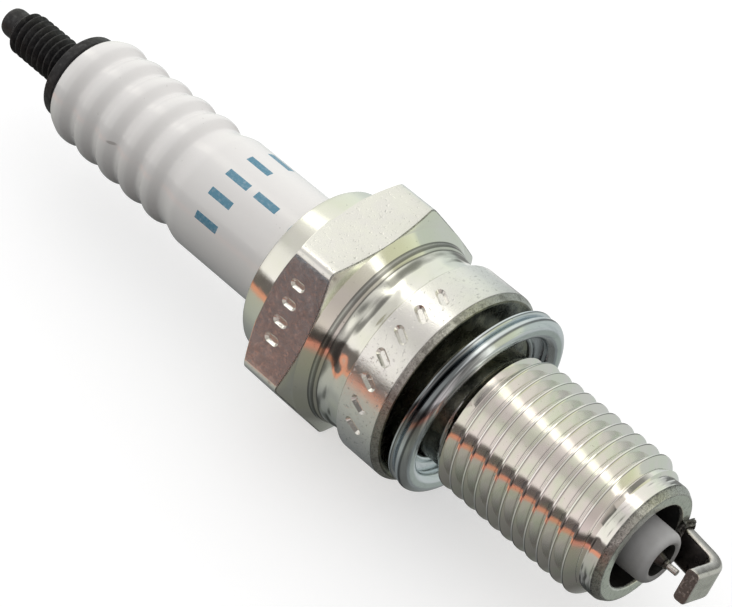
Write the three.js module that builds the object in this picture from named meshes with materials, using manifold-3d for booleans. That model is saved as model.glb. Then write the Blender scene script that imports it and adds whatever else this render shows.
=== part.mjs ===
// Spark plug with a bare M4 terminal stud, an M12 x 1.25 threaded shell of 19 mm reach and an 18 mm hexagon.
//
// Millimetres. Every piece is described along the plug's own axis: x is measured from the sealing face of the
// shell, positive towards the spark gap and negative towards the terminal. The plug lies on one flat of its
// hexagon, with the gap towards +X and +Z up, and the origin is at the bottom centre of its bounding box.

import * as THREE from 'three';
import * as BufferGeometryUtils from 'three/addons/utils/BufferGeometryUtils.js';
import Module from 'manifold-3d';

const wasm = await Module();
wasm.setup();

// ---------------------------------------------------------------- driving dimensions

const FACETS = 36; // round every turned piece, with the same phase, so that nested pieces keep an even gap
const FIT = 0.05; // clearance between pieces that are pressed, sealed or stacked against each other
const CLEAR = 0.1; // by which a cutting shape stands outside what it cuts

// overall stations along the axis
const REACH = 19.0; // sealing face to the shell's end face
const STUD_TIP = -52.8;
const NOSE_END = 20.6; // insulator nose
const PIN_TIP = 21.95; // iridium pin

// hexagon and shell body
const HEX_FLATS = 18.0;
const HEX_CORNER_RADIUS = HEX_FLATS / Math.sqrt(3);
const HEX_TOP = -13.05;
const HEX_BOTTOM = -7.85;
const HEX_CORNER_END = -8.95; // where the turned underside meets the hexagon's corners
const HEX_TOP_FACE_RADIUS = 9.15;
const HEX_TOP_CHAMFER = 0.7; // drop of the upper chamfer at the corners
const COLLAR_TOP = -16.1; // crimped rim round the ceramic
const COLLAR_LIP_RADIUS = 5.9;
const COLLAR_TOP_RADIUS = 7.35;
const COLLAR_ROUNDING = 0.55;
const COLLAR_FOOT_RADIUS = 7.85; // where it meets the hexagon
const UNDERSIDE_DROP = 0.55; // of the hexagon's turned underside, from its corners to its flats
const SKIRT_RADIUS = 8.3; // edge of that underside, with a small step down to the neck
const SKIRT_STEP = 0.2;
const NECK_RADIUS = 7.75; // buckled waist between hexagon and flange
const NECK_TOP = -6.9;
const NECK_BOTTOM = -5.6;
const FLANGE_RADIUS = 8.5;
const FLANGE_TOP = -4.3;
const FLANGE_ROOT_RADIUS = 8.1; // where the neck runs out on the flange's upper face
const FLANGE_EDGE = 0.15;
const FLANGE_CHAMFER = 0.5; // its length along the axis, at the sealing face
const SEALING_FACE_RADIUS = 8.1;

// M12 x 1.25 thread and pilot
const THREAD_MAJOR = 5.98;
const THREAD_MINOR = 5.2;
const THREAD_PITCH = 1.25;
const THREAD_START = 3.0;
const THREAD_END = 17.0;
const THREAD_PHASE = 0.48; // by which the helix is set back from the thread's start
const RELIEF_RADIUS = 5.15;
const RUN_OUT_RADIUS = 5.1; // groove under the thread's last crest
const PILOT_RADIUS = 5.1;
const PILOT_CHAMFER = 0.55; // its length along the axis
const END_FACE_RADIUS = 4.78;

// bore of the shell
const CAVITY_RADIUS = 6.4; // round the insulator's shoulder
const CRIMP_BORE_RADIUS = 5.3;
const THROAT_RADIUS = 4.15; // under the thread
const LEDGE_RADIUS = 3.25; // inner ledge that carries the insulator
const MOUTH_RADIUS = 3.65; // open end round the nose
const LEDGE_TOP = 4.9;
const LEDGE_BOTTOM = 5.5;
const LEDGE_LAND = 1.0; // length of its narrowest part

// insulator
const BARREL_RADIUS = 5.06;
const RIB_COUNT = 5;
const RIB_PITCH = 2.75;
const RIB_FIRST_ROOT = -28.8;
const RIB_CREST_RADIUS = 4.95; // at the rib nearest the shell
const RIB_DEPTH = 0.42;
const RIB_TAPER = 0.05; // radius lost from one rib to the next
const HEAD_END = -42.75;
const HEAD_END_RADIUS = 3.9;
const SHOULDER_RADIUS = 6.2;
const SHOULDER_TOP = -11.0;
const SHOULDER_BOTTOM = -3.9;
const CORE_RADIUS = 4.0;
const NOSE_ROOT_RADIUS = 3.0;
const NOSE_RADIUS = 2.2;
const NOSE_ROUNDING = 0.6;
const RECESS_RADIUS = 1.38; // hollow in the end of the nose, round the electrode
const TERMINAL_BORE = 1.85;
const ELECTRODE_BORE = 1.2;
const BORE_STEP = -1.0;

// terminal stud
const STUD_MAJOR = 1.95; // M4 x 0.7
const STUD_MINOR = 1.58;
const STUD_PITCH = 0.7;
const STUD_POINT_RADIUS = 1.3;
const STUD_POINT_LENGTH = 1.3;
const STUD_FLANGE_RADIUS = 3.85;
const STUD_FLANGE_TOP = -44.0;
const STUD_FLANGE_BOTTOM = -42.95;
const STUD_SHANK_RADIUS = 1.6;
const STUD_SHANK_END = -17.0;

// pieces sealed in the insulator's bore
const UPPER_SEAL_TOP = -20.5;
const RESISTOR_TOP = -14.6;
const RESISTOR_BOTTOM = -5.6;

// centre electrode
const ELECTRODE_HEAD_TOP = -2.9;
const ELECTRODE_HEAD_RADIUS = 1.6;
const ELECTRODE_RADIUS = 1.12;
const ELECTRODE_TAPER_START = 18.9;
const ELECTRODE_END = 20.75;
const ELECTRODE_END_RADIUS = 0.38;
const CORE_WIRE_RADIUS = 0.55;
const CORE_WIRE_END = 17.5;
const PIN_RADIUS = 0.25;
const PIN_FOOT = 20.3;
const TIP_WELD_END = 21.1;

// packing between insulator and shell
const RING_WIRE_RADIUS = 0.36;
const RING_CIRCLE_RADIUS = 5.72;
const UPPER_RING_X = -14.62;
const LOWER_RING_X = -12.0;

// folded sheet gasket, loose on the relief behind the thread
const GASKET_SHEET = 0.38;
const GASKET_LAYER_PITCH = 0.5;
const GASKET_OUTER_RADIUS = 8.3;
const GASKET_OPENING_RADIUS = 6.7;
const GASKET_LIP_RADIUS = 5.75; // captive: smaller than the thread's crests
const GASKET_CENTRE = 1.63;
const GASKET_DISH = 0.38; // by which the outermost layer rises from the bead to its opening
const GASKET_OFFSET = 0.28; // off the plug's axis, within the play round the relief
const GASKET_OFFSET_CLOCK = THREE.MathUtils.degToRad(48); // from +Y towards +Z
const GASKET_TILT = THREE.MathUtils.degToRad(5.5); // it rests cocked on the shell
const GASKET_LOW_SIDE = THREE.MathUtils.degToRad(260); // of the side nearest the shell, from +Y towards +Z

// ground electrode
const STRAP_CLOCK = THREE.MathUtils.degToRad(-29.5); // clock angle, from +Y towards +Z
const STRAP_WIDTH = 2.7;
const STRAP_THICKNESS = 1.1;
const STRAP_FOOT_RADIUS = 4.2;
const STRAP_OUTER_X = 23.85;
const STRAP_BEND_RADIUS = 1.2; // of its middle line
const STRAP_LEAN = THREE.MathUtils.degToRad(14); // inwards
const STRAP_OVERSHOOT = 0.72; // free end past the plug's axis
const STRAP_EDGE = 0.18; // broken edges
const WELD_SPREAD = 0.42; // flash round the foot
const WELD_HEIGHT = 0.5;

// ---------------------------------------------------------------- materials

const finish = (color, roughness, metalness) => new THREE.MeshStandardMaterial({ color, roughness, metalness });

const platedSteel = finish(0xc9ccc6, 0.28, 1.0);
const gasketSteel = finish(0xaeb8bd, 0.25, 1.0);
const glazedAlumina = finish(0xf1efec, 0.12, 0.0);
const blackenedSteel = finish(0x1f1f21, 0.55, 0.8);
const nickelAlloy = finish(0x9b9792, 0.4, 1.0);
const weldedNickel = finish(0x55524f, 0.7, 1.0);
const iridium = finish(0xd2cfca, 0.3, 1.0);
const copper = finish(0xb8693f, 0.35, 1.0);
const conductiveGlass = finish(0x3a3532, 0.3, 0.2);
const resistorGlass = finish(0x5b544c, 0.6, 0.0);
const springSteel = finish(0x8d9092, 0.35, 1.0);
const talcPowder = finish(0xe6e3da, 0.95, 0.0);

// ---------------------------------------------------------------- geometry helpers

// Indexed geometry with shared corners merged, collapsed triangles dropped and its faces pointing out.
function closed(geometry) {
  geometry.deleteAttribute('normal');
  geometry.deleteAttribute('uv');
  const merged = BufferGeometryUtils.mergeVertices(geometry, 1e-4);
  const place = merged.attributes.position;
  const corner = (index) => new THREE.Vector3().fromBufferAttribute(place, index);
  const kept = [];
  let volume = 0;
  for (let i = 0; i < merged.index.count; i += 3) {
    const [a, b, c] = [0, 1, 2].map((step) => merged.index.getX(i + step));
    if (a !== b && b !== c && c !== a) {
      kept.push([a, b, c]);
      volume += corner(a).dot(corner(b).cross(corner(c)));
    }
  }
  merged.setIndex(kept.flatMap(([a, b, c]) => (volume > 0 ? [a, b, c] : [a, c, b])));
  return merged;
}

// A solid of revolution about the X axis from an outline of [radius, x] points.
function turned(outline, facets = FACETS) {
  const points = outline.map(([radius, x]) => new THREE.Vector2(radius, x));
  return closed(new THREE.LatheGeometry(points, facets).rotateZ(-Math.PI / 2));
}

// The same for a ring, whose outline closes on itself.
function ring(outline, facets = FACETS) {
  return turned([...outline, outline[0]], facets);
}

// Points of an arc in the [radius, x] plane; angles are measured from the outward direction towards +x.
function arc(radius, x, size, fromDegrees, toDegrees, steps) {
  return Array.from({ length: steps + 1 }, (_, i) => {
    const angle = THREE.MathUtils.degToRad(fromDegrees + ((toDegrees - fromDegrees) * i) / steps);
    return [radius + size * Math.cos(angle), x + size * Math.sin(angle)];
  });
}

function toSolid(geometry) {
  const { position } = geometry.attributes;
  const vertProperties = new Float32Array(position.array);
  const triVerts = new Uint32Array(geometry.index.array);
  return new wasm.Manifold(new wasm.Mesh({ numProp: 3, vertProperties, triVerts }));
}

function toGeometry(solid) {
  const { vertProperties, triVerts } = solid.getMesh();
  const geometry = new THREE.BufferGeometry();
  geometry.setAttribute('position', new THREE.BufferAttribute(vertProperties, 3));
  geometry.setIndex(new THREE.BufferAttribute(triVerts, 1));
  return geometry;
}

// A right-hand threaded bar along X. Its rows of points follow the helix, so crests and roots stay sharp.
function threadedBar({ major, minor, pitch, from, to, facets }) {
  const section = [
    [0, minor],
    [1 / 4, minor],
    [9 / 16, major],
    [11 / 16, major],
  ];
  const turns = Math.ceil((to - from) / pitch) + 1;
  const rows = turns * section.length;
  const positions = [];
  for (let i = 0; i < facets; i++) {
    const angle = (2 * Math.PI * i) / facets;
    for (let j = 0; j <= rows; j++) {
      const [step, radius] = section[j % section.length];
      const x = from + pitch * (Math.floor(j / section.length) + step + i / facets - 1);
      positions.push(x, radius * Math.cos(angle), radius * Math.sin(angle));
    }
  }
  const point = (i, j) => (i < facets ? i * (rows + 1) + j : j + section.length);
  const triangles = [];
  for (let i = 0; i < facets; i++) {
    const last = i === facets - 1 ? rows - section.length : rows;
    for (let j = 0; j < last; j++) {
      const [a, b, c, d] = [point(i, j), point(i, j + 1), point(i + 1, j + 1), point(i + 1, j)];
      triangles.push(a, b, c, a, c, d);
    }
  }
  const column = (j) => Array.from({ length: facets }, (_, i) => point(i, j));
  const seam = Array.from({ length: section.length }, (_, j) => j);
  const lowerRim = [...column(0), ...seam.map((j) => point(0, section.length - j))];
  const upperRim = [...column(rows), ...seam.map((j) => point(facets - 1, rows - 1 - j))];
  const centre = positions.length / 3;
  positions.push(from - pitch / 2, 0, 0, from + pitch * (turns - 0.5), 0, 0);
  lowerRim.forEach((a, i) => triangles.push(centre, a, lowerRim[(i + 1) % lowerRim.length]));
  upperRim.forEach((a, i) => triangles.push(centre + 1, upperRim[(i + 1) % upperRim.length], a));
  const geometry = new THREE.BufferGeometry();
  geometry.setAttribute('position', new THREE.Float32BufferAttribute(positions, 3));
  geometry.setIndex(triangles);
  return closed(geometry);
}

function piece(name, geometry, material) {
  const mesh = new THREE.Mesh(geometry, material);
  mesh.name = name;
  return mesh;
}

// ---------------------------------------------------------------- shell and gasket

function metalShell() {
  const upperBody = [
    [0, COLLAR_TOP],
    [COLLAR_LIP_RADIUS, COLLAR_TOP],
    ...arc(COLLAR_TOP_RADIUS - COLLAR_ROUNDING, COLLAR_TOP + COLLAR_ROUNDING, COLLAR_ROUNDING, -90, 0, 4),
    [COLLAR_FOOT_RADIUS - 0.15, HEX_TOP - 0.5],
    [COLLAR_FOOT_RADIUS, HEX_TOP],
    [NECK_RADIUS, HEX_TOP + 1],
    [NECK_RADIUS, NECK_BOTTOM],
    [FLANGE_ROOT_RADIUS - 0.05, FLANGE_TOP - 0.25],
    [FLANGE_ROOT_RADIUS, FLANGE_TOP],
    [FLANGE_RADIUS - FLANGE_EDGE, FLANGE_TOP],
    [FLANGE_RADIUS, FLANGE_TOP + FLANGE_EDGE],
    [FLANGE_RADIUS, -FLANGE_CHAMFER],
    [SEALING_FACE_RADIUS, 0],
  ];
  const pilot = [
    [RELIEF_RADIUS, 0],
    [RELIEF_RADIUS, THREAD_START + 1],
    [RUN_OUT_RADIUS, THREAD_START + 1.2],
    [RUN_OUT_RADIUS, THREAD_END + 0.35],
    [PILOT_RADIUS, THREAD_END + 0.6],
    [PILOT_RADIUS, REACH - PILOT_CHAMFER],
    [END_FACE_RADIUS, REACH],
    [0, REACH],
  ];
  const hexEnvelope = turned([
    [0, HEX_TOP],
    [HEX_TOP_FACE_RADIUS, HEX_TOP],
    [HEX_CORNER_RADIUS + CLEAR, HEX_TOP + HEX_TOP_CHAMFER],
    [HEX_CORNER_RADIUS + CLEAR, HEX_CORNER_END],
    [HEX_FLATS / 2, HEX_CORNER_END + UNDERSIDE_DROP],
    [SKIRT_RADIUS + 0.15, HEX_BOTTOM - SKIRT_STEP],
    [SKIRT_RADIUS, HEX_BOTTOM],
    [NECK_RADIUS, NECK_TOP],
    [0, NECK_TOP],
  ]);
  const threadEnvelope = turned([
    [0, THREAD_START],
    [THREAD_MINOR, THREAD_START],
    [THREAD_MAJOR + CLEAR, THREAD_START + 0.5],
    [THREAD_MAJOR + CLEAR, THREAD_END - 0.5],
    [RUN_OUT_RADIUS, THREAD_END + 0.3],
    [0, THREAD_END + 0.3],
  ]);
  const bore = turned([
    [0, COLLAR_TOP - 1],
    [CRIMP_BORE_RADIUS, COLLAR_TOP - 1],
    [CRIMP_BORE_RADIUS, COLLAR_TOP + 0.75],
    [CAVITY_RADIUS, COLLAR_TOP + 0.95],
    [CAVITY_RADIUS, SHOULDER_BOTTOM + 0.4],
    [THROAT_RADIUS, SHOULDER_BOTTOM + 2.2],
    [THROAT_RADIUS, LEDGE_TOP],
    [LEDGE_RADIUS, LEDGE_BOTTOM],
    [LEDGE_RADIUS, LEDGE_BOTTOM + LEDGE_LAND],
    [MOUTH_RADIUS, LEDGE_BOTTOM + LEDGE_LAND + 0.5],
    [MOUTH_RADIUS, REACH + 1],
    [0, REACH + 1],
  ]);
  const thread = threadedBar({
    major: THREAD_MAJOR,
    minor: THREAD_MINOR,
    pitch: THREAD_PITCH,
    from: THREAD_START - THREAD_PHASE,
    to: THREAD_END + 0.3,
    facets: FACETS,
  });
  const body = toSolid(turned([...upperBody, ...pilot]))
    .add(toSolid(hexPrism()).intersect(toSolid(hexEnvelope)))
    .add(toSolid(thread).intersect(toSolid(threadEnvelope)))
    .subtract(toSolid(bore));
  return piece('metal_shell', toGeometry(body), platedSteel);
}

// Hexagonal bar along X with one flat on top and one underneath.
function hexPrism() {
  const corners = Array.from({ length: 6 }, (_, i) => {
    const angle = (i * Math.PI) / 3;
    return new THREE.Vector2(HEX_CORNER_RADIUS * Math.cos(angle), HEX_CORNER_RADIUS * Math.sin(angle));
  });
  const bar = new THREE.ExtrudeGeometry(new THREE.Shape(corners), {
    depth: NECK_TOP - HEX_TOP + 2,
    bevelEnabled: false,
  });
  // extruded along Z with its corners in XY: stand it along X, its first corner towards +Y
  const alongX = new THREE.Matrix4().makeBasis(
    new THREE.Vector3(0, 1, 0),
    new THREE.Vector3(0, 0, 1),
    new THREE.Vector3(1, 0, 0),
  );
  return closed(bar.applyMatrix4(alongX).translate(HEX_TOP - 1, 0, 0));
}

// One strip of sheet folded into three layers: a single edge towards the shell, a lip that reaches in under the
// thread's crests, and a rolled bead towards the cylinder head.
function seatGasket() {
  const half = GASKET_SHEET / 2;
  const turn = GASKET_LAYER_PITCH / 2;
  const [first, second, third] = [-GASKET_LAYER_PITCH, 0, GASKET_LAYER_PITCH];
  const lip = GASKET_LIP_RADIUS + half + turn;
  const bead = GASKET_OUTER_RADIUS - half - turn;
  const section = [
    [GASKET_OUTER_RADIUS - 0.25, first - half],
    [GASKET_OUTER_RADIUS - 0.1, first],
    [GASKET_OUTER_RADIUS - 0.25, first + half],
    ...arc(lip, first + turn, turn - half, -90, -270, 2),
    ...arc(bead, second + turn, turn + half, -90, 90, 5),
    [GASKET_OPENING_RADIUS + half, third + half + GASKET_DISH],
    [GASKET_OPENING_RADIUS, third + GASKET_DISH],
    [GASKET_OPENING_RADIUS + half, third - half + GASKET_DISH],
    ...arc(bead, second + turn, turn - half, 90, -90, 2),
    ...arc(lip, first + turn, turn + half, 90, 270, 4),
  ];
  const gasket = piece('seat_gasket', ring(section), gasketSteel);
  const lean = Math.tan(GASKET_TILT);
  const normal = new THREE.Vector3(1, lean * Math.cos(GASKET_LOW_SIDE), lean * Math.sin(GASKET_LOW_SIDE));
  gasket.quaternion.setFromUnitVectors(new THREE.Vector3(1, 0, 0), normal.normalize());
  gasket.position.set(
    GASKET_CENTRE,
    GASKET_OFFSET * Math.cos(GASKET_OFFSET_CLOCK),
    GASKET_OFFSET * Math.sin(GASKET_OFFSET_CLOCK),
  );
  return gasket;
}

// ---------------------------------------------------------------- ceramic and terminal

function insulator() {
  const ribs = Array.from({ length: RIB_COUNT }, (_, i) => {
    const root = RIB_FIRST_ROOT - i * RIB_PITCH;
    const crest = RIB_CREST_RADIUS - i * RIB_TAPER;
    return [
      [crest - RIB_DEPTH, root],
      [crest - RIB_DEPTH / 2, root - RIB_PITCH / 4],
      [crest, root - RIB_PITCH / 2],
      [crest - RIB_DEPTH / 2, root - (3 * RIB_PITCH) / 4],
    ];
  }).flat();
  const outside = [
    [NOSE_RADIUS - NOSE_ROUNDING, NOSE_END],
    ...arc(NOSE_RADIUS - NOSE_ROUNDING, NOSE_END - NOSE_ROUNDING, NOSE_ROUNDING, 60, 0, 2),
    [NOSE_RADIUS + 0.15, 13],
    [NOSE_ROOT_RADIUS, LEDGE_TOP + 0.1],
    [CORE_RADIUS, LEDGE_TOP - 0.55],
    [CORE_RADIUS, SHOULDER_BOTTOM + 2],
    [SHOULDER_RADIUS, SHOULDER_BOTTOM],
    [SHOULDER_RADIUS, SHOULDER_TOP],
    [BARREL_RADIUS, SHOULDER_TOP - 0.5],
    [BARREL_RADIUS, RIB_FIRST_ROOT + RIB_PITCH * 0.7],
    [BARREL_RADIUS - 0.1, RIB_FIRST_ROOT + RIB_PITCH * 0.35],
    ...ribs,
    [HEAD_END_RADIUS + 0.3, HEAD_END + 0.12],
    [HEAD_END_RADIUS, HEAD_END],
  ];
  const bore = [
    [TERMINAL_BORE, HEAD_END],
    [TERMINAL_BORE, BORE_STEP],
    [ELECTRODE_BORE, BORE_STEP + 0.5],
    [ELECTRODE_BORE, ELECTRODE_TAPER_START - 0.3],
    [RECESS_RADIUS - 0.1, NOSE_END - 0.5],
    [RECESS_RADIUS, NOSE_END - 0.15],
  ];
  return piece('insulator', ring([...outside, ...bore]), glazedAlumina);
}

function terminalStud() {
  const pointEnd = STUD_TIP + STUD_POINT_LENGTH;
  const thread = threadedBar({
    major: STUD_MAJOR,
    minor: STUD_MINOR,
    pitch: STUD_PITCH,
    from: pointEnd,
    to: STUD_FLANGE_TOP,
    facets: FACETS / 2,
  });
  const threadEnvelope = turned(
    [
      [0, pointEnd - 0.1],
      [STUD_POINT_RADIUS, pointEnd - 0.1],
      [STUD_MAJOR + CLEAR, pointEnd + 0.55],
      [STUD_MAJOR + CLEAR, STUD_FLANGE_TOP - 0.9],
      [STUD_MINOR - 0.1, STUD_FLANGE_TOP - 0.4],
      [0, STUD_FLANGE_TOP - 0.4],
    ],
    FACETS / 2,
  );
  const core = turned([
    [0, STUD_TIP],
    [STUD_POINT_RADIUS - 0.25, STUD_TIP],
    [STUD_POINT_RADIUS, STUD_TIP + 0.25],
    [STUD_POINT_RADIUS, pointEnd + 0.2],
    [STUD_MINOR - 0.08, pointEnd + 0.5],
    [STUD_MINOR - 0.08, STUD_FLANGE_TOP],
    [STUD_FLANGE_RADIUS - 0.15, STUD_FLANGE_TOP],
    [STUD_FLANGE_RADIUS, STUD_FLANGE_TOP + 0.15],
    [STUD_FLANGE_RADIUS, STUD_FLANGE_BOTTOM],
    [STUD_SHANK_RADIUS, STUD_FLANGE_BOTTOM],
    [STUD_SHANK_RADIUS, STUD_SHANK_END - 0.3],
    [STUD_SHANK_RADIUS - 0.3, STUD_SHANK_END],
    [0, STUD_SHANK_END],
  ]);
  const body = toSolid(core).add(toSolid(thread).intersect(toSolid(threadEnvelope)));
  return piece('terminal_stud', toGeometry(body), blackenedSteel);
}

// ---------------------------------------------------------------- pieces sealed in the insulator's bore

function upperGlassSeal() {
  const radius = TERMINAL_BORE - FIT;
  const socket = STUD_SHANK_RADIUS + FIT;
  const outline = [
    [socket, UPPER_SEAL_TOP],
    [radius, UPPER_SEAL_TOP],
    [radius, RESISTOR_TOP - FIT],
    [0, RESISTOR_TOP - FIT],
    [0, STUD_SHANK_END + FIT],
    [socket, STUD_SHANK_END + FIT],
  ];
  return piece('upper_glass_seal', ring(outline), conductiveGlass);
}

function resistorBody() {
  const radius = TERMINAL_BORE - FIT;
  const outline = [
    [0, RESISTOR_TOP],
    [radius, RESISTOR_TOP],
    [radius, RESISTOR_BOTTOM],
    [0, RESISTOR_BOTTOM],
  ];
  return piece('resistor_body', turned(outline), resistorGlass);
}

function lowerGlassSeal() {
  const radius = TERMINAL_BORE - FIT;
  const socket = ELECTRODE_HEAD_RADIUS + FIT;
  const outline = [
    [0, RESISTOR_BOTTOM + FIT],
    [radius, RESISTOR_BOTTOM + FIT],
    [radius, BORE_STEP - 0.6],
    [socket, BORE_STEP - 0.6],
    [socket, ELECTRODE_HEAD_TOP - FIT],
    [0, ELECTRODE_HEAD_TOP - FIT],
  ];
  return piece('lower_glass_seal', ring(outline), conductiveGlass);
}

// ---------------------------------------------------------------- centre electrode

function centreElectrode() {
  const wireBore = CORE_WIRE_RADIUS + FIT;
  const pinBore = PIN_RADIUS + FIT / 2;
  const outline = [
    [wireBore, ELECTRODE_HEAD_TOP],
    [ELECTRODE_HEAD_RADIUS, ELECTRODE_HEAD_TOP],
    [ELECTRODE_HEAD_RADIUS, BORE_STEP - 0.15],
    [ELECTRODE_RADIUS, BORE_STEP + 0.3],
    [ELECTRODE_RADIUS, ELECTRODE_TAPER_START],
    [ELECTRODE_END_RADIUS, ELECTRODE_END - 0.1],
    [ELECTRODE_END_RADIUS - 0.02, ELECTRODE_END],
    [pinBore, ELECTRODE_END],
    [pinBore, PIN_FOOT - FIT],
    [0, PIN_FOOT - FIT],
    [0, CORE_WIRE_END + FIT],
    [wireBore, CORE_WIRE_END],
  ];
  return piece('centre_electrode', ring(outline), nickelAlloy);
}

function centreElectrodeCore() {
  const outline = [
    [0, ELECTRODE_HEAD_TOP],
    [CORE_WIRE_RADIUS, ELECTRODE_HEAD_TOP],
    [CORE_WIRE_RADIUS, CORE_WIRE_END - 0.3],
    [0, CORE_WIRE_END],
  ];
  return piece('centre_electrode_core', turned(outline, FACETS / 2), copper);
}

function iridiumTip() {
  const outline = [
    [0, PIN_FOOT],
    [PIN_RADIUS, PIN_FOOT],
    [PIN_RADIUS, PIN_TIP],
    [0, PIN_TIP],
  ];
  return piece('iridium_tip', turned(outline, FACETS / 2), iridium);
}

function tipWeld() {
  const start = ELECTRODE_END + FIT / 2;
  const opening = PIN_RADIUS + FIT / 2;
  const outline = [
    [opening, start],
    [ELECTRODE_END_RADIUS, start],
    [ELECTRODE_END_RADIUS + 0.02, start + 0.12],
    [opening + 0.03, TIP_WELD_END],
    [opening, TIP_WELD_END],
  ];
  return piece('tip_weld', ring(outline, FACETS / 2), weldedNickel);
}

// ---------------------------------------------------------------- packing between insulator and shell

function packingRing(name, x) {
  const section = arc(RING_CIRCLE_RADIUS, x, RING_WIRE_RADIUS, 0, 315, 7);
  return piece(name, ring(section), springSteel);
}

function talcPacking() {
  const outline = [
    [BARREL_RADIUS + FIT, UPPER_RING_X + RING_WIRE_RADIUS + FIT],
    [CAVITY_RADIUS - FIT, UPPER_RING_X + RING_WIRE_RADIUS + FIT],
    [CAVITY_RADIUS - FIT, LOWER_RING_X - RING_WIRE_RADIUS - FIT],
    [BARREL_RADIUS + FIT, LOWER_RING_X - RING_WIRE_RADIUS - FIT],
  ];
  return piece('talc_packing', ring(outline), talcPowder);
}

// Conical washer that the insulator's seat presses against the shell's inner ledge.
function seatPackingWasher() {
  const outline = [
    [LEDGE_RADIUS + 0.1, LEDGE_BOTTOM - 0.38],
    [THROAT_RADIUS - 0.1, LEDGE_TOP - 0.38],
    [THROAT_RADIUS - 0.1, LEDGE_TOP - 0.12],
    [LEDGE_RADIUS + 0.1, LEDGE_BOTTOM - 0.12],
  ];
  return piece('seat_packing_washer', ring(outline), springSteel);
}

// ---------------------------------------------------------------- ground electrode

// Side view of the strap in a plane through the plug's axis: a leaning leg, a bend and an arm across the axis.
// Shape coordinates are [distance from the axis, x]; offset moves from the middle line to either face.
function strapSide(offset, steps) {
  const armX = STRAP_OUTER_X - STRAP_THICKNESS / 2;
  const sweep = Math.PI / 2 - STRAP_LEAN;
  const outwardAtFoot = new THREE.Vector2(Math.cos(STRAP_LEAN), Math.sin(STRAP_LEAN));
  const bendX = armX - STRAP_BEND_RADIUS;
  const legRise = bendX + STRAP_BEND_RADIUS * Math.sin(STRAP_LEAN) - REACH - FIT;
  const bendRadius = STRAP_FOOT_RADIUS - legRise * Math.tan(STRAP_LEAN) - STRAP_BEND_RADIUS * outwardAtFoot.x;
  const size = STRAP_BEND_RADIUS + offset;
  const bend = Array.from({ length: steps + 1 }, (_, i) => {
    const angle = STRAP_LEAN + (sweep * i) / steps;
    return new THREE.Vector2(bendRadius + size * Math.cos(angle), bendX + size * Math.sin(angle));
  });
  const foot = new THREE.Vector2(STRAP_FOOT_RADIUS + offset / Math.cos(STRAP_LEAN), REACH + FIT);
  const end = new THREE.Vector2(-STRAP_OVERSHOOT, bendX + size);
  return [foot, ...bend, end];
}

function clocked(mesh) {
  // shapes are drawn as [distance from the axis, x] and extruded across the strap's width
  const outward = new THREE.Vector3(0, Math.cos(STRAP_CLOCK), Math.sin(STRAP_CLOCK));
  const alongAxis = new THREE.Vector3(1, 0, 0);
  const across = outward.clone().cross(alongAxis);
  mesh.quaternion.setFromRotationMatrix(new THREE.Matrix4().makeBasis(outward, alongAxis, across));
  return mesh;
}

function groundElectrode() {
  const outer = strapSide(STRAP_THICKNESS / 2, 5);
  const inner = strapSide(-STRAP_THICKNESS / 2, 5);
  const strap = new THREE.ExtrudeGeometry(new THREE.Shape([...outer, ...inner.toReversed()]), {
    depth: STRAP_WIDTH - 2 * STRAP_EDGE,
    bevelThickness: STRAP_EDGE,
    bevelSize: STRAP_EDGE,
    bevelOffset: -STRAP_EDGE,
    bevelSegments: 1,
  });
  strap.translate(0, 0, STRAP_EDGE - STRAP_WIDTH / 2);
  return clocked(piece('ground_electrode', closed(strap), nickelAlloy));
}

// Flash squeezed out round the strap's foot when it is resistance-welded to the end face.
function groundElectrodeWeld() {
  const reach = STRAP_THICKNESS / 2;
  const across = STRAP_WIDTH / 2;
  const gap = 2 * FIT;
  const lean = WELD_HEIGHT * Math.tan(STRAP_LEAN);
  const outside = new THREE.Shape([
    new THREE.Vector2(reach + WELD_SPREAD, -across),
    new THREE.Vector2(reach + WELD_SPREAD, across),
    new THREE.Vector2(reach, across + WELD_SPREAD),
    new THREE.Vector2(-reach, across + WELD_SPREAD),
    new THREE.Vector2(-reach - WELD_SPREAD, across),
    new THREE.Vector2(-reach - WELD_SPREAD, -across),
    new THREE.Vector2(-reach, -across - WELD_SPREAD),
    new THREE.Vector2(reach, -across - WELD_SPREAD),
  ]);
  const inside = new THREE.Path([
    new THREE.Vector2(reach + gap, -across - gap),
    new THREE.Vector2(-reach - gap - lean, -across - gap),
    new THREE.Vector2(-reach - gap - lean, across + gap),
    new THREE.Vector2(reach + gap, across + gap),
  ]);
  outside.holes.push(inside);
  const flash = new THREE.ExtrudeGeometry(outside, { depth: WELD_HEIGHT, bevelEnabled: false });
  // drawn with its own x outwards and extruded along the plug's axis
  const stand = new THREE.Matrix4().makeBasis(
    new THREE.Vector3(1, 0, 0),
    new THREE.Vector3(0, 0, -1),
    new THREE.Vector3(0, 1, 0),
  );
  flash.applyMatrix4(stand).translate(STRAP_FOOT_RADIUS, REACH + FIT, 0);
  return clocked(piece('ground_electrode_weld', closed(flash), weldedNickel));
}

// ---------------------------------------------------------------- assembly

const plug = new THREE.Group();
plug.add(
  metalShell(),
  seatGasket(),
  insulator(),
  terminalStud(),
  upperGlassSeal(),
  resistorBody(),
  lowerGlassSeal(),
  centreElectrode(),
  centreElectrodeCore(),
  iridiumTip(),
  tipWeld(),
  packingRing('upper_packing_ring', UPPER_RING_X),
  talcPacking(),
  packingRing('lower_packing_ring', LOWER_RING_X),
  seatPackingWasher(),
  groundElectrode(),
  groundElectrodeWeld(),
);
plug.position.set(-(STUD_TIP + STRAP_OUTER_X) / 2, 0, HEX_FLATS / 2);

const sparkPlug = new THREE.Group();
sparkPlug.add(plug);

export default sparkPlug;
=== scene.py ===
from math import atan2, ceil, copysign, cos, degrees, hypot, pi, radians, sin, sqrt, tan

import bmesh
import bpy
from mathutils import Matrix, Vector, noise


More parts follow.
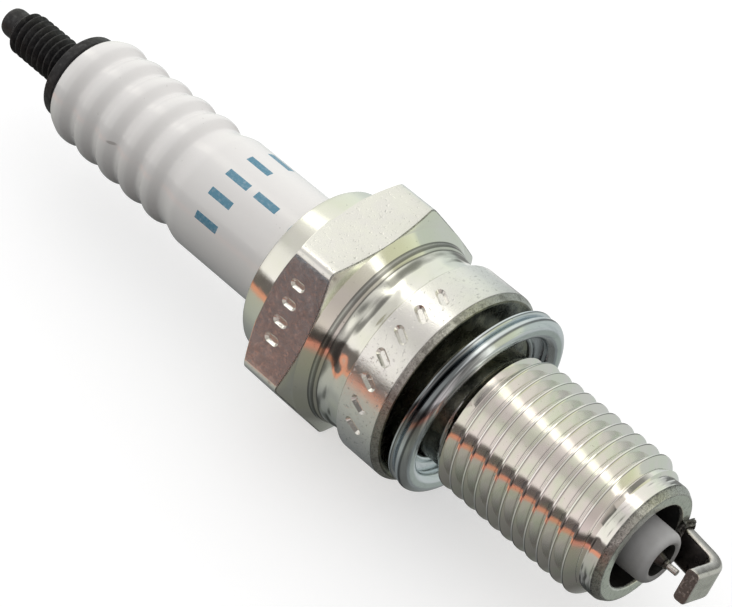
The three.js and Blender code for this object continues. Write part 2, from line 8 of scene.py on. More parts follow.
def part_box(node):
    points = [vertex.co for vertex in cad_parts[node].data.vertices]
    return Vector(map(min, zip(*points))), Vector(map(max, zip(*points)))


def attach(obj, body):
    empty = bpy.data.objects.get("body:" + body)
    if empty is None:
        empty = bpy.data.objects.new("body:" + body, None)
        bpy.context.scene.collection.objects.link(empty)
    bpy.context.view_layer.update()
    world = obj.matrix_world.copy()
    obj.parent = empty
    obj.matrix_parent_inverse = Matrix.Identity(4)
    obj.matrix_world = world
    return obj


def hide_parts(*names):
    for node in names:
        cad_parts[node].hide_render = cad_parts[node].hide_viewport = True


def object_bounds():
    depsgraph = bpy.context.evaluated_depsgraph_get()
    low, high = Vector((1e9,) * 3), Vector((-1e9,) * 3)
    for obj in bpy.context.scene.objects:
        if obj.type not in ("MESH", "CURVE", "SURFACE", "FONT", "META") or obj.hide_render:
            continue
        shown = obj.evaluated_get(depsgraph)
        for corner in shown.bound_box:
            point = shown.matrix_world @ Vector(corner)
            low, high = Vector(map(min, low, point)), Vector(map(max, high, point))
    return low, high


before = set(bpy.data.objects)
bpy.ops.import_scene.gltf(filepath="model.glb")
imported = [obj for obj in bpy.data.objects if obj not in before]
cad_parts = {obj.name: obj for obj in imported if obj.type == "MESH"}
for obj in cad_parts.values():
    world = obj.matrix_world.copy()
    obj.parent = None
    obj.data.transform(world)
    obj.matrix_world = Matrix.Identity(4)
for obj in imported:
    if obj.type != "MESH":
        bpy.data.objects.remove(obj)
cad_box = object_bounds()

# Spark plug. Lengths are millimetres along and round the plug's own axis until a mesh is made: x is measured
# from the shell's sealing face, positive towards the spark gap, and angles run from +Y towards +Z.

MM = 0.001
REACH = 19.0  # sealing face to the shell's end face
SHELL_LOW, SHELL_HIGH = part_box("metal_shell")
SHELL_MIDDLE = (SHELL_LOW + SHELL_HIGH) / 2
SEAT = Vector((SHELL_HIGH.x - REACH * MM, SHELL_MIDDLE.y, SHELL_MIDDLE.z))
BODY = "plug"
GASKET_BODY = "gasket"

# ------------ driving dimensions

HEX_FLATS = 18.0
HEX_CORNER = HEX_FLATS / sqrt(3)
HEX_CORNER_ROUNDING = 0.8
HEX_TOP = -13.05
HEX_CORNER_END = -8.95
HEX_TOP_FACE = 9.15
HEX_TOP_CHAMFER = 0.7
UNDERSIDE_DROP = 0.55
SKIRT = 8.95  # turned cone under the hexagon
BEAD = 8.25
COLLAR_TOP = -16.1
NECK_START = -7.05
NECK_STEP = 0.0625
NECK_STATIONS = 45  # close together, for the buckling
NECK_PROFILE = [  # (x, radius)
    (NECK_START, 8.14),
    (-6.85, 8.02),
    (-6.0, 7.89),
    (-5.5, 7.86),
    (-4.9, 7.92),
    (-4.5, 8.02),
    (-4.3, 8.1),
]
BUCKLE_MIDDLE = -5.65
BUCKLE_REACH = 1.3
FLANGE = 8.5
FLANGE_TOP = -4.3
STAMPED_FLAT = radians(60)  # from straight up towards -Y
STAMP_X = -11.1
STAMP_COUNT = 4
STAMP_PITCH = 1.6
STAMP_SIZE = 0.75, 1.4, 0.24  # width, length, depth
SLOT_X = -2.5  # slots in the flange
SLOT_COUNT = 7
SLOT_FIRST = 1.5  # degrees from straight up towards -Y
SLOT_PITCH = 14.2
SLOT_SLANT = radians(-27)
SLOT_SIZE = 0.8, 1.65, 0.26
RELIEF = 5.15
RUN_OUT = 5.1
PILOT = 5.1
END_FACE = 4.78
MOUTH = 3.65
WEAR_MIDDLE = 17.75
WEAR_REACH = 0.65
# Both threads' phases are in turns
THREAD = {"major": 5.98, "minor": 5.2, "pitch": 1.25, "start": 3.0, "end": 17.3, "phase": 0.72}

BARREL = 5.06
BARREL_TOP = -26.6
RIB_COUNT = 5
RIB_PITCH = 2.75
RIB_FIRST_ROOT = -28.8
RIB_CREST = 4.95
RIB_DEPTH = 0.42
RIB_TAPER = 0.05  # each crest is this much lower than the one before
RUB_MARK = Vector((-34.9, -4.26, 1.99))  # on a rib
RUB_MARK_PER_MM = Vector((2.0, 2.5, 7.5))  # one over its half length in each direction
HEAD_END = -42.75
NOSE = 2.2
NOSE_END = 20.6
NOSE_ROUNDING = 0.6
RECESS = 1.38

STUD_TIP = -52.8
STUD_POINT = 1.3
STUD_FLANGE = 3.85
STUD_FLANGE_TOP = -44.0
STUD_FLANGE_BOTTOM = -42.95
STUD_THREAD = {"major": 1.95, "minor": 1.5, "pitch": 0.7, "start": -51.3, "end": -44.35, "phase": 0.0}

ELECTRODE = 1.12
ELECTRODE_TIP = 0.38
ELECTRODE_END = 20.75
PIN = 0.25
PIN_HOLE = 0.275
PIN_FOOT = 20.3
PIN_TIP = 21.95
TIP_WELD_END = 21.1

GASKET_OUTER = 8.3
GASKET_OPENING = 6.62
GASKET_LIP = 5.75
GASKET_BACK = -0.69
GASKET_FRONT = 1.07
GASKET_GROOVE = -0.23  # between the back roll and the front one
GASKET_CENTRE = 1.63
GASKET_TILT = radians(5.5)
GASKET_LOW_SIDE = radians(260)
GASKET_OFFSET = 0.28
GASKET_OFFSET_CLOCK = radians(48)
# the side of the gasket where its painted shade is darkest
PAINTED_DARK_SIDE = radians(42)  # from straight up towards -Y

STRAP_CLOCK = radians(-29.5)
STRAP_WIDTH = 2.7
STRAP_THICKNESS = 1.1
STRAP_FOOT = 4.2
STRAP_OUTER_X = 23.85
STRAP_BEND = 1.65
STRAP_LEAN = radians(14)
STRAP_OVERSHOOT = 0.72  # past the plug's axis
STRAP_EDGE = 0.34  # rounding
WELD_HEIGHT = 0.52
WELD_SPREAD = 0.42
FIT = 0.05  # clearance between neighbouring pieces

SECTOR_STEPS = 26  # from one hexagon corner to the next
ROUND_STEPS = 4  # facets of a softened corner
WELD_GAP = 1e-4  # vertices closer than this are one


# ------------ mesh helpers


def softened(outline):
    """The outline's (radius, x) points. A corner given as (radius, x, rounding) becomes a short curve."""
    corners = [Vector(point[:2]) for point in outline]
    result = []
    for i, point in enumerate(outline):
        corner = corners[i]
        if len(point) < 3:
            result.append(corner)
            continue
        before, after = corners[i - 1] - corner, corners[(i + 1) % len(corners)] - corner
        start = corner + before.normalized() * min(point[2], 0.45 * before.length)
        end = corner + after.normalized() * min(point[2], 0.45 * after.length)
        for step in range(ROUND_STEPS + 1):
            t = step / ROUND_STEPS
            result.append(start * (1 - t) ** 2 + corner * 2 * t * (1 - t) + end * t**2)
    return result


def arc(radius, x, size, start, end, steps):
    """Points of an arc in the (radius, x) plane, with angles in degrees from outward towards +x."""
    angles = [radians(start + (end - start) * i / steps) for i in range(steps + 1)]
    return [(radius + size * cos(a), x + size * sin(a)) for a in angles]


def even_angles(count):
    return [2 * pi * i / count for i in range(count)]


def skin(bm, angles, columns, lead=0, closed=False):
    """Faces over columns of (radius, x) points, one column at each angle. A thread's last column meets its
    first one lead rows further on."""
    verts = [
        [bm.verts.new((x, r * cos(angle), r * sin(angle))) for r, x in column]
        for angle, column in zip(angles, columns)
    ]
    for i, here in enumerate(verts):
        there = verts[(i + 1) % len(verts)]
        shift = lead if i == len(verts) - 1 else 0
        rows = len(here) if closed else len(here) - 1 - shift
        for j in range(rows):
            k = (j + 1) % len(here)
            bm.faces.new((here[j], here[k], there[k + shift], there[j + shift]))


def bridge(bm, rings):
    """Faces between each closed ring of vertices and the next one."""
    for here, there in zip(rings, rings[1:]):
        for i in range(len(here)):
            k = (i + 1) % len(here)
            bm.faces.new((here[i], here[k], there[k], there[i]))


def threaded_columns(angles, thread, section, limits):
    """Columns of a right-hand thread whose rows follow the helix. Its ends are clamped to flat rings, and
    limits holds (x, radius) points of the bar that the thread is cut on."""
    turns = ceil((thread["end"] - thread["start"]) / thread["pitch"]) + 3
    rows = turns * len(section) + 1
    columns = []
    for angle in angles:
        column = []
        for row in range(rows):
            step, height = section[row % len(section)]
            turn = row // len(section) + step + angle / (2 * pi) - 2 + thread["phase"]
            x = min(max(thread["start"] + thread["pitch"] * turn, thread["start"]), thread["end"])
            radius = thread["minor"] + (thread["major"] - thread["minor"]) * height
            column.append((min(radius, ramp(x, limits)), x))
        columns.append(column)
    return columns


def ramp(x, points):
    """Straight-line interpolation through (x, value) points."""
    for (x0, v0), (x1, v1) in zip(points, points[1:]):
        if x <= x1:
            return v0 + (v1 - v0) * max(0.0, x - x0) / (x1 - x0)
    return points[-1][1]


def to_world(bm):
    """From plug millimetres to the frame's metres."""
    bmesh.ops.scale(bm, vec=(MM, MM, MM), verts=bm.verts)
    bmesh.ops.translate(bm, vec=SEAT, verts=bm.verts)


def to_object(name, bm, materials=()):
    mesh = bpy.data.meshes.new(name)
    bm.to_mesh(mesh)
    bm.free()
    for material in materials:
        mesh.materials.append(material)
    made = bpy.data.objects.new(name, mesh)
    bpy.context.scene.collection.objects.link(made)
    return made


def piece(name, bm, materials, slot, node, body=BODY, zone=None, turn=None, smooth=32):
    """Turns a mesh in plug millimetres into an object that rides on a body and stands for a CAD node. A zone
    picks each face's material. Edges sharper than smooth, in degrees, stay sharp."""
    bmesh.ops.remove_doubles(bm, verts=bm.verts, dist=WELD_GAP)
    bmesh.ops.dissolve_degenerate(bm, edges=bm.edges, dist=WELD_GAP)
    bmesh.ops.recalc_face_normals(bm, faces=bm.faces)
    if zone:
        for face in bm.faces:
            face.material_index = materials.index(zone(face))
    if turn:
        bmesh.ops.transform(bm, matrix=turn, verts=bm.verts)
    to_world(bm)
    for face in bm.faces:
        face.smooth = True
    sharp = radians(smooth)
    for edge in bm.edges:
        edge.smooth = edge.calc_face_angle(0.0) < sharp
    made = to_object(name, bm, materials)
    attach(made, body)
    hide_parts(node)
    return made


def turned(name, outline, materials, slot, count, **options):
    """A solid of revolution from a closed outline."""
    bm = bmesh.new()
    skin(bm, even_angles(count), [softened(outline)] * count, closed=True)
    piece(name, bm, materials, slot, **options)


# ------------ materials


class Tree:
    """Short ways to build a node tree."""

    def __init__(self, tree):
        self.tree = tree

    def node(self, kind, inputs=(), **settings):
        """A new node. Its inputs, by name or by number, are linked to an output or set to a plain value."""
        made = self.tree.nodes.new(kind)
        for key, value in settings.items():
            setattr(made, key, value)
        for key, value in dict(inputs).items():
            if isinstance(value, bpy.types.NodeSocket):
                self.link(value, made.inputs[key])
            else:
                made.inputs[key].default_value = value
        return made

    def first(self, kind):
        return next(n for n in self.tree.nodes if n.type == kind)

    def link(self, source, target):
        self.tree.links.new(source, target)

    def math(self, operation, *values):
        return self.node("ShaderNodeMath", enumerate(values), operation=operation).outputs["Value"]

    def vector_math(self, operation, *values):
        return self.node("ShaderNodeVectorMath", enumerate(values), operation=operation)

    def split(self, vector):
        made = self.node("ShaderNodeSeparateXYZ", {"Vector": vector})
        return [made.outputs[axis] for axis in "XYZ"]

    def remap(self, source, low, high, to_low=0.0, to_high=1.0):
        span = {"From Min": low, "From Max": high, "To Min": to_low, "To Max": to_high}
        return self.node("ShaderNodeMapRange", {"Value": source, **span}).outputs["Result"]

    def mix(self, factor, *colors):
        """The first colour where factor is 0, and the second where it is 1."""
        first, second = [(*color, 1) if isinstance(color, tuple) else color for color in colors]
        inputs = {"Factor": factor, "A": first, "B": second}
        return self.node("ShaderNodeMix", inputs, data_type="RGBA").outputs["Result"]

    def ramp(self, source, low, high, stops):
        """Colour from (position, colour) stops between low and high."""
        made = self.node("ShaderNodeValToRGB", {"Fac": self.remap(source, low, high)})
        elements = made.color_ramp.elements
        elements.remove(elements[1])
        for i, (position, color) in enumerate(stops):
            stop = elements[0] if i == 0 else elements.new((position - low) / (high - low))
            stop.color = (*color, 1) if isinstance(color, tuple) else (color, color, color, 1)
        return made.outputs["Color"]


class Shader(Tree):
    """A Principled material with short ways to add procedural detail, in millimetres."""

    def __init__(self, name, color, roughness, metallic=0.0, **sockets):
        self.material = bpy.data.materials.new(name)
        self.material.use_nodes = True
        super().__init__(self.material.node_tree)
        self.bsdf = self.first("BSDF_PRINCIPLED")
        sockets |= {"Base_Color": (*color, 1), "Roughness": roughness, "Metallic": metallic}
        for socket, value in sockets.items():
            self.bsdf.inputs[socket.replace("_", " ")].default_value = value
        self.place = self.node("ShaderNodeTexCoord").outputs["Object"]
        self.normal = None

    def noise(self, per_mm, detail=3.0, roughness=0.55, stretch=(1, 1, 1)):
        """Noise from 0 to 1; stretch scales the three directions of the lookup."""
        scale = [s * per_mm / MM for s in stretch]
        mapping = self.node("ShaderNodeMapping", {"Vector": self.place, "Scale": scale})
        place = mapping.outputs["Vector"]
        inputs = {"Vector": place, "Scale": 1.0, "Detail": detail, "Roughness": roughness}
        return self.node("ShaderNodeTexNoise", inputs).outputs["Fac"]

    def tint(self, factor, color):
        """Mixes color over the base colour by factor."""
        target = self.bsdf.inputs["Base Color"]
        under = target.links[0].from_socket if target.is_linked else tuple(target.default_value)[:3]
        self.link(self.mix(factor, under, tuple(color)), target)

    def stain(self, source, low, high, most, color):
        """Tints by up to most, as source goes from low to high."""
        self.tint(self.remap(source, low, high, 0, most), color)

    def bump(self, height, size_mm, strength):
        inputs = {"Strength": strength, "Distance": size_mm * MM, "Height": height}
        if self.normal:
            inputs["Normal"] = self.normal
        self.normal = self.node("ShaderNodeBump", inputs).outputs["Normal"]
        self.link(self.normal, self.bsdf.inputs["Normal"])

    def rough(self, per_mm, detail, low, high):
        """Roughness from low to high, by noise."""
        source = self.remap(self.noise(per_mm, detail), 0.3, 0.7, low, high)
        self.link(source, self.bsdf.inputs["Roughness"])


AROUND = (1, 0.03, 0.03)  # streaks that run round the axis
PLATED = (0.83, 0.83, 0.79)


def satin_plating():
    """Drawn or stamped plated faces: fine grain with small pits."""
    shader = Shader("satin_plating", PLATED, 0.2, 1.0)
    shader.rough(1.6, 5, 0.15, 0.24)
    shader.stain(shader.noise(0.7, detail=4), 0.4, 0.65, 0.4, (0.79, 0.77, 0.79))
    pits = shader.remap(shader.noise(3.4, detail=3, roughness=0.6), 0.6, 0.72)
    shader.stain(pits, 0.3, 1, 0.3, (0.52, 0.51, 0.52))
    shader.bump(shader.noise(8.0, detail=5, roughness=0.75), 0.009, 0.7)
    shader.bump(pits, -0.02, 0.6)
    return shader.material


def stamped_plating_painted_shade():
    """The stamped flat, scratched, with a darker and bluer base than the rest: painted shade for the dark
    reflection on that side.
    """
    shader = Shader("stamped_plating_painted_shade", (0.50, 0.555, 0.61), 0.2, 1.0)
    shader.rough(1.6, 5, 0.12, 0.26)
    shader.stain(shader.noise(2.2, detail=5, roughness=0.7), 0.5, 0.62, 0.5, (0.75, 0.77, 0.80))
    shader.bump(shader.noise(2.4, detail=6, roughness=0.75), 0.035, 0.7)
    return shader.material


def turned_plating():
    """Lathe-turned faces: glossy, with faint lines round the axis and a trace of yellow."""
    shader = Shader("turned_plating", PLATED, 0.12, 1.0)
    shader.rough(0.9, 4, 0.07, 0.17)
    shader.stain(shader.noise(0.35, detail=3), 0.35, 0.65, 0.6, (0.80, 0.83, 0.70))
    shader.stain(shader.noise(4.0, detail=4), 0.66, 0.72, 0.4, (0.42, 0.42, 0.40))
    shader.bump(shader.noise(9.0, detail=4, roughness=0.6, stretch=AROUND), 0.003, 0.5)
    shader.bump(shader.noise(1.5, detail=3), 0.012, 0.4)
    return shader.material


def thread_plating():
    """Rolled thread: the brightest finish, with tinted patches."""
    shader = Shader("thread_plating", (0.85, 0.82, 0.80), 0.09, 1.0)
    shader.rough(1.2, 4, 0.06, 0.14)
    shader.stain(shader.noise(0.6, detail=3), 0.45, 0.6, 0.6, (0.80, 0.84, 0.74))
    shader.stain(shader.noise(5.0, detail=3), 0.68, 0.74, 0.5, (0.40, 0.38, 0.36))
    shader.bump(shader.noise(10.0, detail=4, roughness=0.6, stretch=AROUND), 0.0025, 0.5)
    return shader.material


def shaded_plating():
    """Painted shade: dark, dull plating on the faces that the gasket hides, the sealing face and the relief.
    """
    shader = Shader("shaded_plating", (0.17, 0.17, 0.135), 0.25, 1.0)
    shader.rough(1.0, 4, 0.18, 0.34)
    shader.stain(shader.noise(0.8, detail=4), 0.48, 0.62, 0.8, (0.05, 0.055, 0.05))
    shader.bump(shader.noise(8.0, detail=4, stretch=AROUND), 0.004, 0.6)
    return shader.material


def end_plating():
    """Flat faced end of the shell."""
    shader = Shader("end_plating", (0.72, 0.74, 0.70), 0.3, 1.0)
    shader.rough(1.5, 4, 0.22, 0.4)
    shader.stain(shader.noise(2.6, detail=5, roughness=0.7), 0.52, 0.66, 0.7, (0.34, 0.35, 0.33))
    shader.bump(shader.noise(6.0, detail=5), 0.006, 0.6)
    return shader.material


def scuffed_plating():
    """Edges where the tool or handling has broken the plating: dark specks and scratches."""
    shader = Shader("scuffed_plating", (0.55, 0.56, 0.54), 0.3, 1.0)
    speckle = shader.remap(shader.noise(9.0, detail=6, roughness=0.8), 0.48, 0.6)
    shader.rough(3.0, 4, 0.2, 0.5)
    shader.stain(speckle, 0, 1, 0.8, (0.12, 0.12, 0.115))
    shader.stain(shader.noise(1.6, detail=4), 0.52, 0.62, 0.6, (0.20, 0.20, 0.19))
    shader.bump(shader.noise(7.0, detail=6, roughness=0.7), 0.018, 0.8)
    return shader.material


def bore_shadow():
    """Painted shadow in the bores: nearly black."""
    shader = Shader("bore_painted_shadow", (0.012, 0.012, 0.012), 0.7)
    shader.rough(2.0, 3, 0.6, 0.85)
    shader.stain(shader.noise(1.5, detail=4), 0.5, 0.7, 1, (0.03, 0.028, 0.025))
    shader.bump(shader.noise(4.0, detail=4), 0.01, 0.5)
    return shader.material


def sheet_steel():
    """Cold-rolled gasket sheet, bluish, with streaks from the forming roller, and painted shade in broken
    streaks on one side, for the dark reflection there.
    """
    shader = Shader("gasket_sheet", (0.70, 0.75, 0.79), 0.14, 1.0)
    shader.rough(1.2, 4, 0.1, 0.24)
    streaks = shader.noise(5.0, detail=4, roughness=0.65, stretch=AROUND)
    shader.stain(streaks, 0.5, 0.7, 0.5, (0.46, 0.50, 0.53))
    # painted shade: streaks darkened on one side of the gasket, for the dark reflection there
    out = shader.vector_math("SUBTRACT", shader.place, SEAT).outputs["Vector"]
    dark_side_direction = Vector((0, -sin(PAINTED_DARK_SIDE), cos(PAINTED_DARK_SIDE))) / (GASKET_OUTER * MM)
    side = shader.vector_math("DOT_PRODUCT", out, dark_side_direction).outputs["Value"]
    lines = shader.remap(shader.noise(2.0, detail=4, roughness=0.6, stretch=AROUND), 0.64, 0.5)
    painted_dark = shader.math("MULTIPLY", shader.remap(side, 0.78, 0.95, 0, 0.85), lines)
    shader.tint(painted_dark, (0.10, 0.115, 0.12))
    shader.stain(shader.noise(4.0, detail=3), 0.7, 0.74, 0.6, (0.20, 0.21, 0.22))
    shader.bump(streaks, 0.006, 0.6)
    return shader.material


def glazed_ceramic():
    """White glaze, with a few specks and one grey scuff mark on a rib."""
    shader = Shader("glazed_ceramic", (0.86, 0.84, 0.82), 0.12, 0.0, Coat_Weight=0.25, Coat_Roughness=0.05)
    shader.rough(0.7, 3, 0.1, 0.2)
    shader.stain(shader.noise(0.25, detail=3), 0.4, 0.7, 0.25, (0.83, 0.79, 0.77))
    shader.stain(shader.noise(2.2, detail=2), 0.74, 0.77, 0.5, (0.55, 0.53, 0.50))
    offset = shader.vector_math("SUBTRACT", shader.place, SEAT + RUB_MARK * MM).outputs["Vector"]
    sized = shader.vector_math("MULTIPLY", offset, RUB_MARK_PER_MM / MM).outputs["Vector"]
    far = shader.vector_math("LENGTH", sized).outputs["Value"]
    shader.stain(far, 1.2, 0.7, 0.7, (0.42, 0.40, 0.38))
    shader.bump(shader.noise(0.9, detail=3), 0.02, 0.5)
    return shader.material


def bare_ceramic():
    """The unglazed nose, greyer than the glaze, and darkened further as painted shade from the shell's mouth
    round it.
    """
    shader = Shader("bare_ceramic", (0.47, 0.465, 0.46), 0.5)
    shader.rough(2.0, 3, 0.42, 0.6)
    shader.stain(shader.noise(1.2, detail=4), 0.4, 0.7, 0.3, (0.33, 0.32, 0.31))
    shader.bump(shader.noise(7.0, detail=4), 0.006, 0.5)
    return shader.material


def printed_ink():
    """Blue ink, worn thin in places."""
    shader = Shader("printed_ink", (0.10, 0.27, 0.38), 0.3)
    shader.stain(shader.noise(3.5, detail=3), 0.5, 0.75, 0.6, (0.36, 0.48, 0.55))
    shader.rough(3.0, 2, 0.2, 0.4)
    return shader.material


def blackened_steel():
    """The terminal: chemically blackened, greyer where it is worn."""
    shader = Shader("blackened_steel", (0.016, 0.016, 0.018), 0.45, 0.2)
    shader.rough(2.0, 4, 0.34, 0.62)
    shader.stain(shader.noise(2.5, detail=5), 0.5, 0.75, 0.7, (0.075, 0.075, 0.075))
    shader.bump(shader.noise(9.0, detail=5), 0.012, 0.7)
    return shader.material


def nickel_alloy():
    """Drawn nickel wire, pale pinkish grey."""
    shader = Shader("nickel_alloy", (0.72, 0.69, 0.67), 0.26, 1.0)
    shader.rough(1.5, 4, 0.2, 0.36)
    shader.stain(shader.noise(1.4, detail=5), 0.5, 0.75, 0.7, (0.42, 0.39, 0.38))
    shader.bump(shader.noise(6.0, detail=5), 0.008, 0.6)
    return shader.material


def nickel_painted_shade():
    """Nickel painted dark as shade, for the centre electrode down in its recess and the inner face of the
    strap's leg.
    """
    shader = Shader("nickel_painted_shade", (0.10, 0.09, 0.088), 0.3, 1.0)
    shader.rough(1.5, 4, 0.24, 0.42)
    shader.stain(shader.noise(1.0, detail=4), 0.45, 0.7, 0.7, (0.24, 0.21, 0.20))
    shader.bump(shader.noise(6.0, detail=4), 0.006, 0.6)
    return shader.material


def sheared_nickel():
    """The strap's cut end: torn and dark."""
    shader = Shader("sheared_nickel", (0.20, 0.18, 0.175), 0.4, 1.0)
    shader.rough(3.0, 5, 0.28, 0.6)
    shader.stain(shader.noise(3.2, detail=5, roughness=0.7), 0.52, 0.64, 0.85, (0.60, 0.56, 0.54))
    shader.bump(shader.noise(4.0, detail=6, roughness=0.7), 0.06, 0.9)
    return shader.material


def weld_metal():
    """Splashed weld, dark, with bright torn edges."""
    shader = Shader("weld_metal", (0.11, 0.105, 0.10), 0.4, 1.0)
    shader.rough(3.0, 4, 0.25, 0.7)
    shader.stain(shader.noise(3.5, detail=5, roughness=0.7), 0.5, 0.62, 0.8, (0.48, 0.47, 0.45))
    shader.bump(shader.noise(5.0, detail=6, roughness=0.7), 0.06, 0.9)
    return shader.material


def iridium():
    """The fine wire, with dark specks."""
    shader = Shader("iridium", (0.70, 0.67, 0.65), 0.28, 1.0)
    shader.rough(6.0, 3, 0.2, 0.4)
    shader.stain(shader.noise(7.0, detail=4), 0.55, 0.65, 0.7, (0.22, 0.20, 0.19))
    shader.bump(shader.noise(12.0, detail=4), 0.006, 0.6)
    return shader.material


def hidden_metal(name, color, roughness):
    """Plain metal, for the pieces that never show."""
    shader = Shader(name, color, roughness, 1.0)
    shader.rough(2.0, 3, roughness * 0.7, roughness * 1.3)
    shader.bump(shader.noise(8.0, detail=3), 0.004, 0.5)
    return shader.material


def fused_glass(name, color, roughness):
    """Mottled glass or powder, for the pieces that never show."""
    shader = Shader(name, color, roughness)
    shader.rough(2.0, 4, roughness * 0.7, roughness * 1.3)
    shader.stain(shader.noise(2.5, detail=5), 0.45, 0.7, 1, [c * 0.5 for c in color])
    shader.bump(shader.noise(5.0, detail=5), 0.01, 0.6)
    return shader.material


SATIN = satin_plating()
STAMPED_PAINTED_SHADE = stamped_plating_painted_shade()
TURNED = turned_plating()
THREADED = thread_plating()
SHADED = shaded_plating()
END = end_plating()
SCUFFED = scuffed_plating()
BORE = bore_shadow()
SHEET = sheet_steel()
GLAZE = glazed_ceramic()
BARE = bare_ceramic()
INK = printed_ink()
BLACKENED = blackened_steel()
NICKEL = nickel_alloy()
NICKEL_PAINTED_SHADE = nickel_painted_shade()
SHEARED = sheared_nickel()
WELD = weld_metal()
IRIDIUM = iridium()

# ------------ shell


def hex_corner():
    """Distance from the axis to the centre of a corner's rounding, and half the angle that it spans."""
    centre = (HEX_FLATS / 2 - HEX_CORNER_ROUNDING) / cos(pi / 6)
    side = HEX_CORNER_ROUNDING * sin(pi / 6)
    return centre, atan2(side, centre + HEX_CORNER_ROUNDING * cos(pi / 6))


def hex_angles():
    """Angles of the shell's columns: closer together round each corner of the hexagon."""
    tangent = hex_corner()[1]
    within = [tangent * i / 2 for i in range(-2, 3)]
    span = pi / 3 - 2 * tangent
    between = [tangent + span * i / SECTOR_STEPS for i in range(1, SECTOR_STEPS)]
    return [sector * pi / 3 + a for sector in range(6) for a in within + between]


def hex_radius(angle):
    """Distance from the axis to the hexagon's side at an angle, with rounded corners."""
    off_corner = abs((angle + pi / 6) % (pi / 3) - pi / 6)
    centre, tangent = hex_corner()
    if off_corner > tangent:
        return HEX_FLATS / 2 / cos(pi / 6 - off_corner)
    across = centre * sin(off_corner)
    return centre * cos(off_corner) + sqrt(HEX_CORNER_ROUNDING**2 - across**2)


def underside_x(radius):
    """Where the hexagon's turned underside lies at a radius."""
    return ramp(-radius, [(-HEX_CORNER, HEX_CORNER_END), (-SKIRT, HEX_CORNER_END + UNDERSIDE_DROP)])


def buckle(angle, x):
    """Radial unevenness of the neck, which was buckled hot when the shell was crimped."""
    window = max(0.0, 1 - ((x - BUCKLE_MIDDLE) / BUCKLE_REACH) ** 2)
    place = Vector((x * 0.6, 2.9 * cos(angle), 2.9 * sin(angle)))
    return window * (0.13 * noise.noise(place) + 0.07 * noise.noise(place * 2.1))


def wear(angle, x):
    """Shallow dents and scratches of the pilot beyond the thread's last crest."""
    window = max(0.0, 1 - ((x - WEAR_MIDDLE) / WEAR_REACH) ** 2)
    place = Vector((x * 5.0, 5.5 * cos(angle), 5.5 * sin(angle)))
    return window * min(0.0, 0.07 * noise.noise(place) + 0.012)


def upper_outline(angle):
    """From the collar to the thread's start, at this angle."""
    side = hex_radius(angle)
    top_edge = min(side, HEX_TOP_FACE)
    chamfer = HEX_TOP + HEX_TOP_CHAMFER * (side - top_edge) / (HEX_CORNER - HEX_TOP_FACE)
    outline = [
        (5.3, COLLAR_TOP + 0.3),
        (5.45, COLLAR_TOP, 0.12),
        (7.35, COLLAR_TOP, 0.6),
        (7.72, HEX_TOP - 0.45, 0.3),
        (7.85, HEX_TOP, 0.06),
        (top_edge, HEX_TOP, 0.05),
        (side, chamfer, 0.08),
        (side, underside_x(side), 0.1),
        (SKIRT, underside_x(SKIRT), 0.05),
        (BEAD + 0.06, -7.58, 0.04),
        (BEAD, -7.42),
        (BEAD, -7.32),
        (BEAD - 0.09, -7.08),
    ]
    neck_xs = [NECK_START + NECK_STEP * i for i in range(NECK_STATIONS)]
    neck = [(ramp(x, NECK_PROFILE), x) for x in neck_xs]
    flange = [
        (FLANGE - 0.12, FLANGE_TOP, 0.04),
        (FLANGE, FLANGE_TOP + 0.12, 0.05),
        (FLANGE, -0.55, 0.1),
        (8.08, 0, 0.12),
        (RELIEF + 0.1, 0, 0.08),
        (RELIEF, 0.1),
        (RELIEF, THREAD["start"]),
    ]
    return [(r + buckle(angle, x), x) for r, x in softened(outline) + neck + softened(flange)]


def lower_outline(angle):
    """From the thread's end over the pilot and back through the bore to the collar."""
    pilot_xs = [THREAD["end"] + 0.06 * i for i in range(1, 18)]  # close together, for the dents
    pilot = [(PILOT + wear(angle, x), x) for x in pilot_xs]
    bore = [
        (PILOT, REACH - 0.55, 0.12),
        (END_FACE, REACH, 0.14),
        (MOUTH + 0.15, REACH, 0.08),
        (MOUTH, REACH - 0.15, 0.08),
        (MOUTH, 7.0, 0.2),
        (3.25, 6.5, 0.2),
        (3.25, 5.5, 0.1),
        (4.15, 4.9, 0.1),
        (4.15, -1.7, 0.2),
        (6.4, -3.5, 0.2),
        (6.4, COLLAR_TOP + 0.95, 0.1),
        (5.3, COLLAR_TOP + 0.75, 0.05),
        (5.3, COLLAR_TOP + 0.3),
    ]
    return [(RUN_OUT, THREAD["end"]), *pilot, *softened(bore)]


# One turn of the thread, as (share of the pitch, share of the depth)
THREAD_SECTION = [
    (0.0, 0.0),
    (0.04, 0.0),
    (0.075, 0.03),
    (0.11, 0.12),
    (0.40, 0.89),
    (0.42, 0.95),
    (0.445, 0.985),
    (0.47, 1.0),
    (0.57, 1.0),
    (0.595, 0.985),
    (0.62, 0.95),
    (0.64, 0.89),
    (0.93, 0.12),
    (0.965, 0.03),
]


def shell_zone(face):
    """Material of a shell face, from where it lies."""
    place = face.calc_center_median()
    radius = hypot(place.y, place.z)
    # painted shadow: the shell's bore is nearly black
    if radius < 5.0 and place.x < REACH - 0.45:
        return BORE
    if place.x > REACH - 0.05:
        return END if MOUTH + 0.1 < radius < END_FACE - 0.12 else SCUFFED
    if place.x > REACH - 0.6:
        return SCUFFED
    if place.x > 2.2:
        return THREADED
    # painted shade: the sealing face and the relief beside the gasket are dark
    if place.x > -0.1:
        return SHADED
    hexagon = place.x > HEX_TOP + 0.1 and radius > SKIRT + 0.02
    if place.x > -0.5 or (hexagon and 0.3 < face.normal.x < 0.9):
        return SCUFFED
    if hexagon and abs(face.normal.x) < 0.3:
        around = atan2(-place.y, place.z)
        # painted shade: the stamped flat takes a darker, bluer plating than the other flats
        stamped = abs(around - STAMPED_FLAT) < radians(28)  # just short of the flat's corners
        return STAMPED_PAINTED_SHADE if stamped else SATIN
    flange = place.x > FLANGE_TOP - 0.05 and radius > 8.4
    return SATIN if flange else TURNED


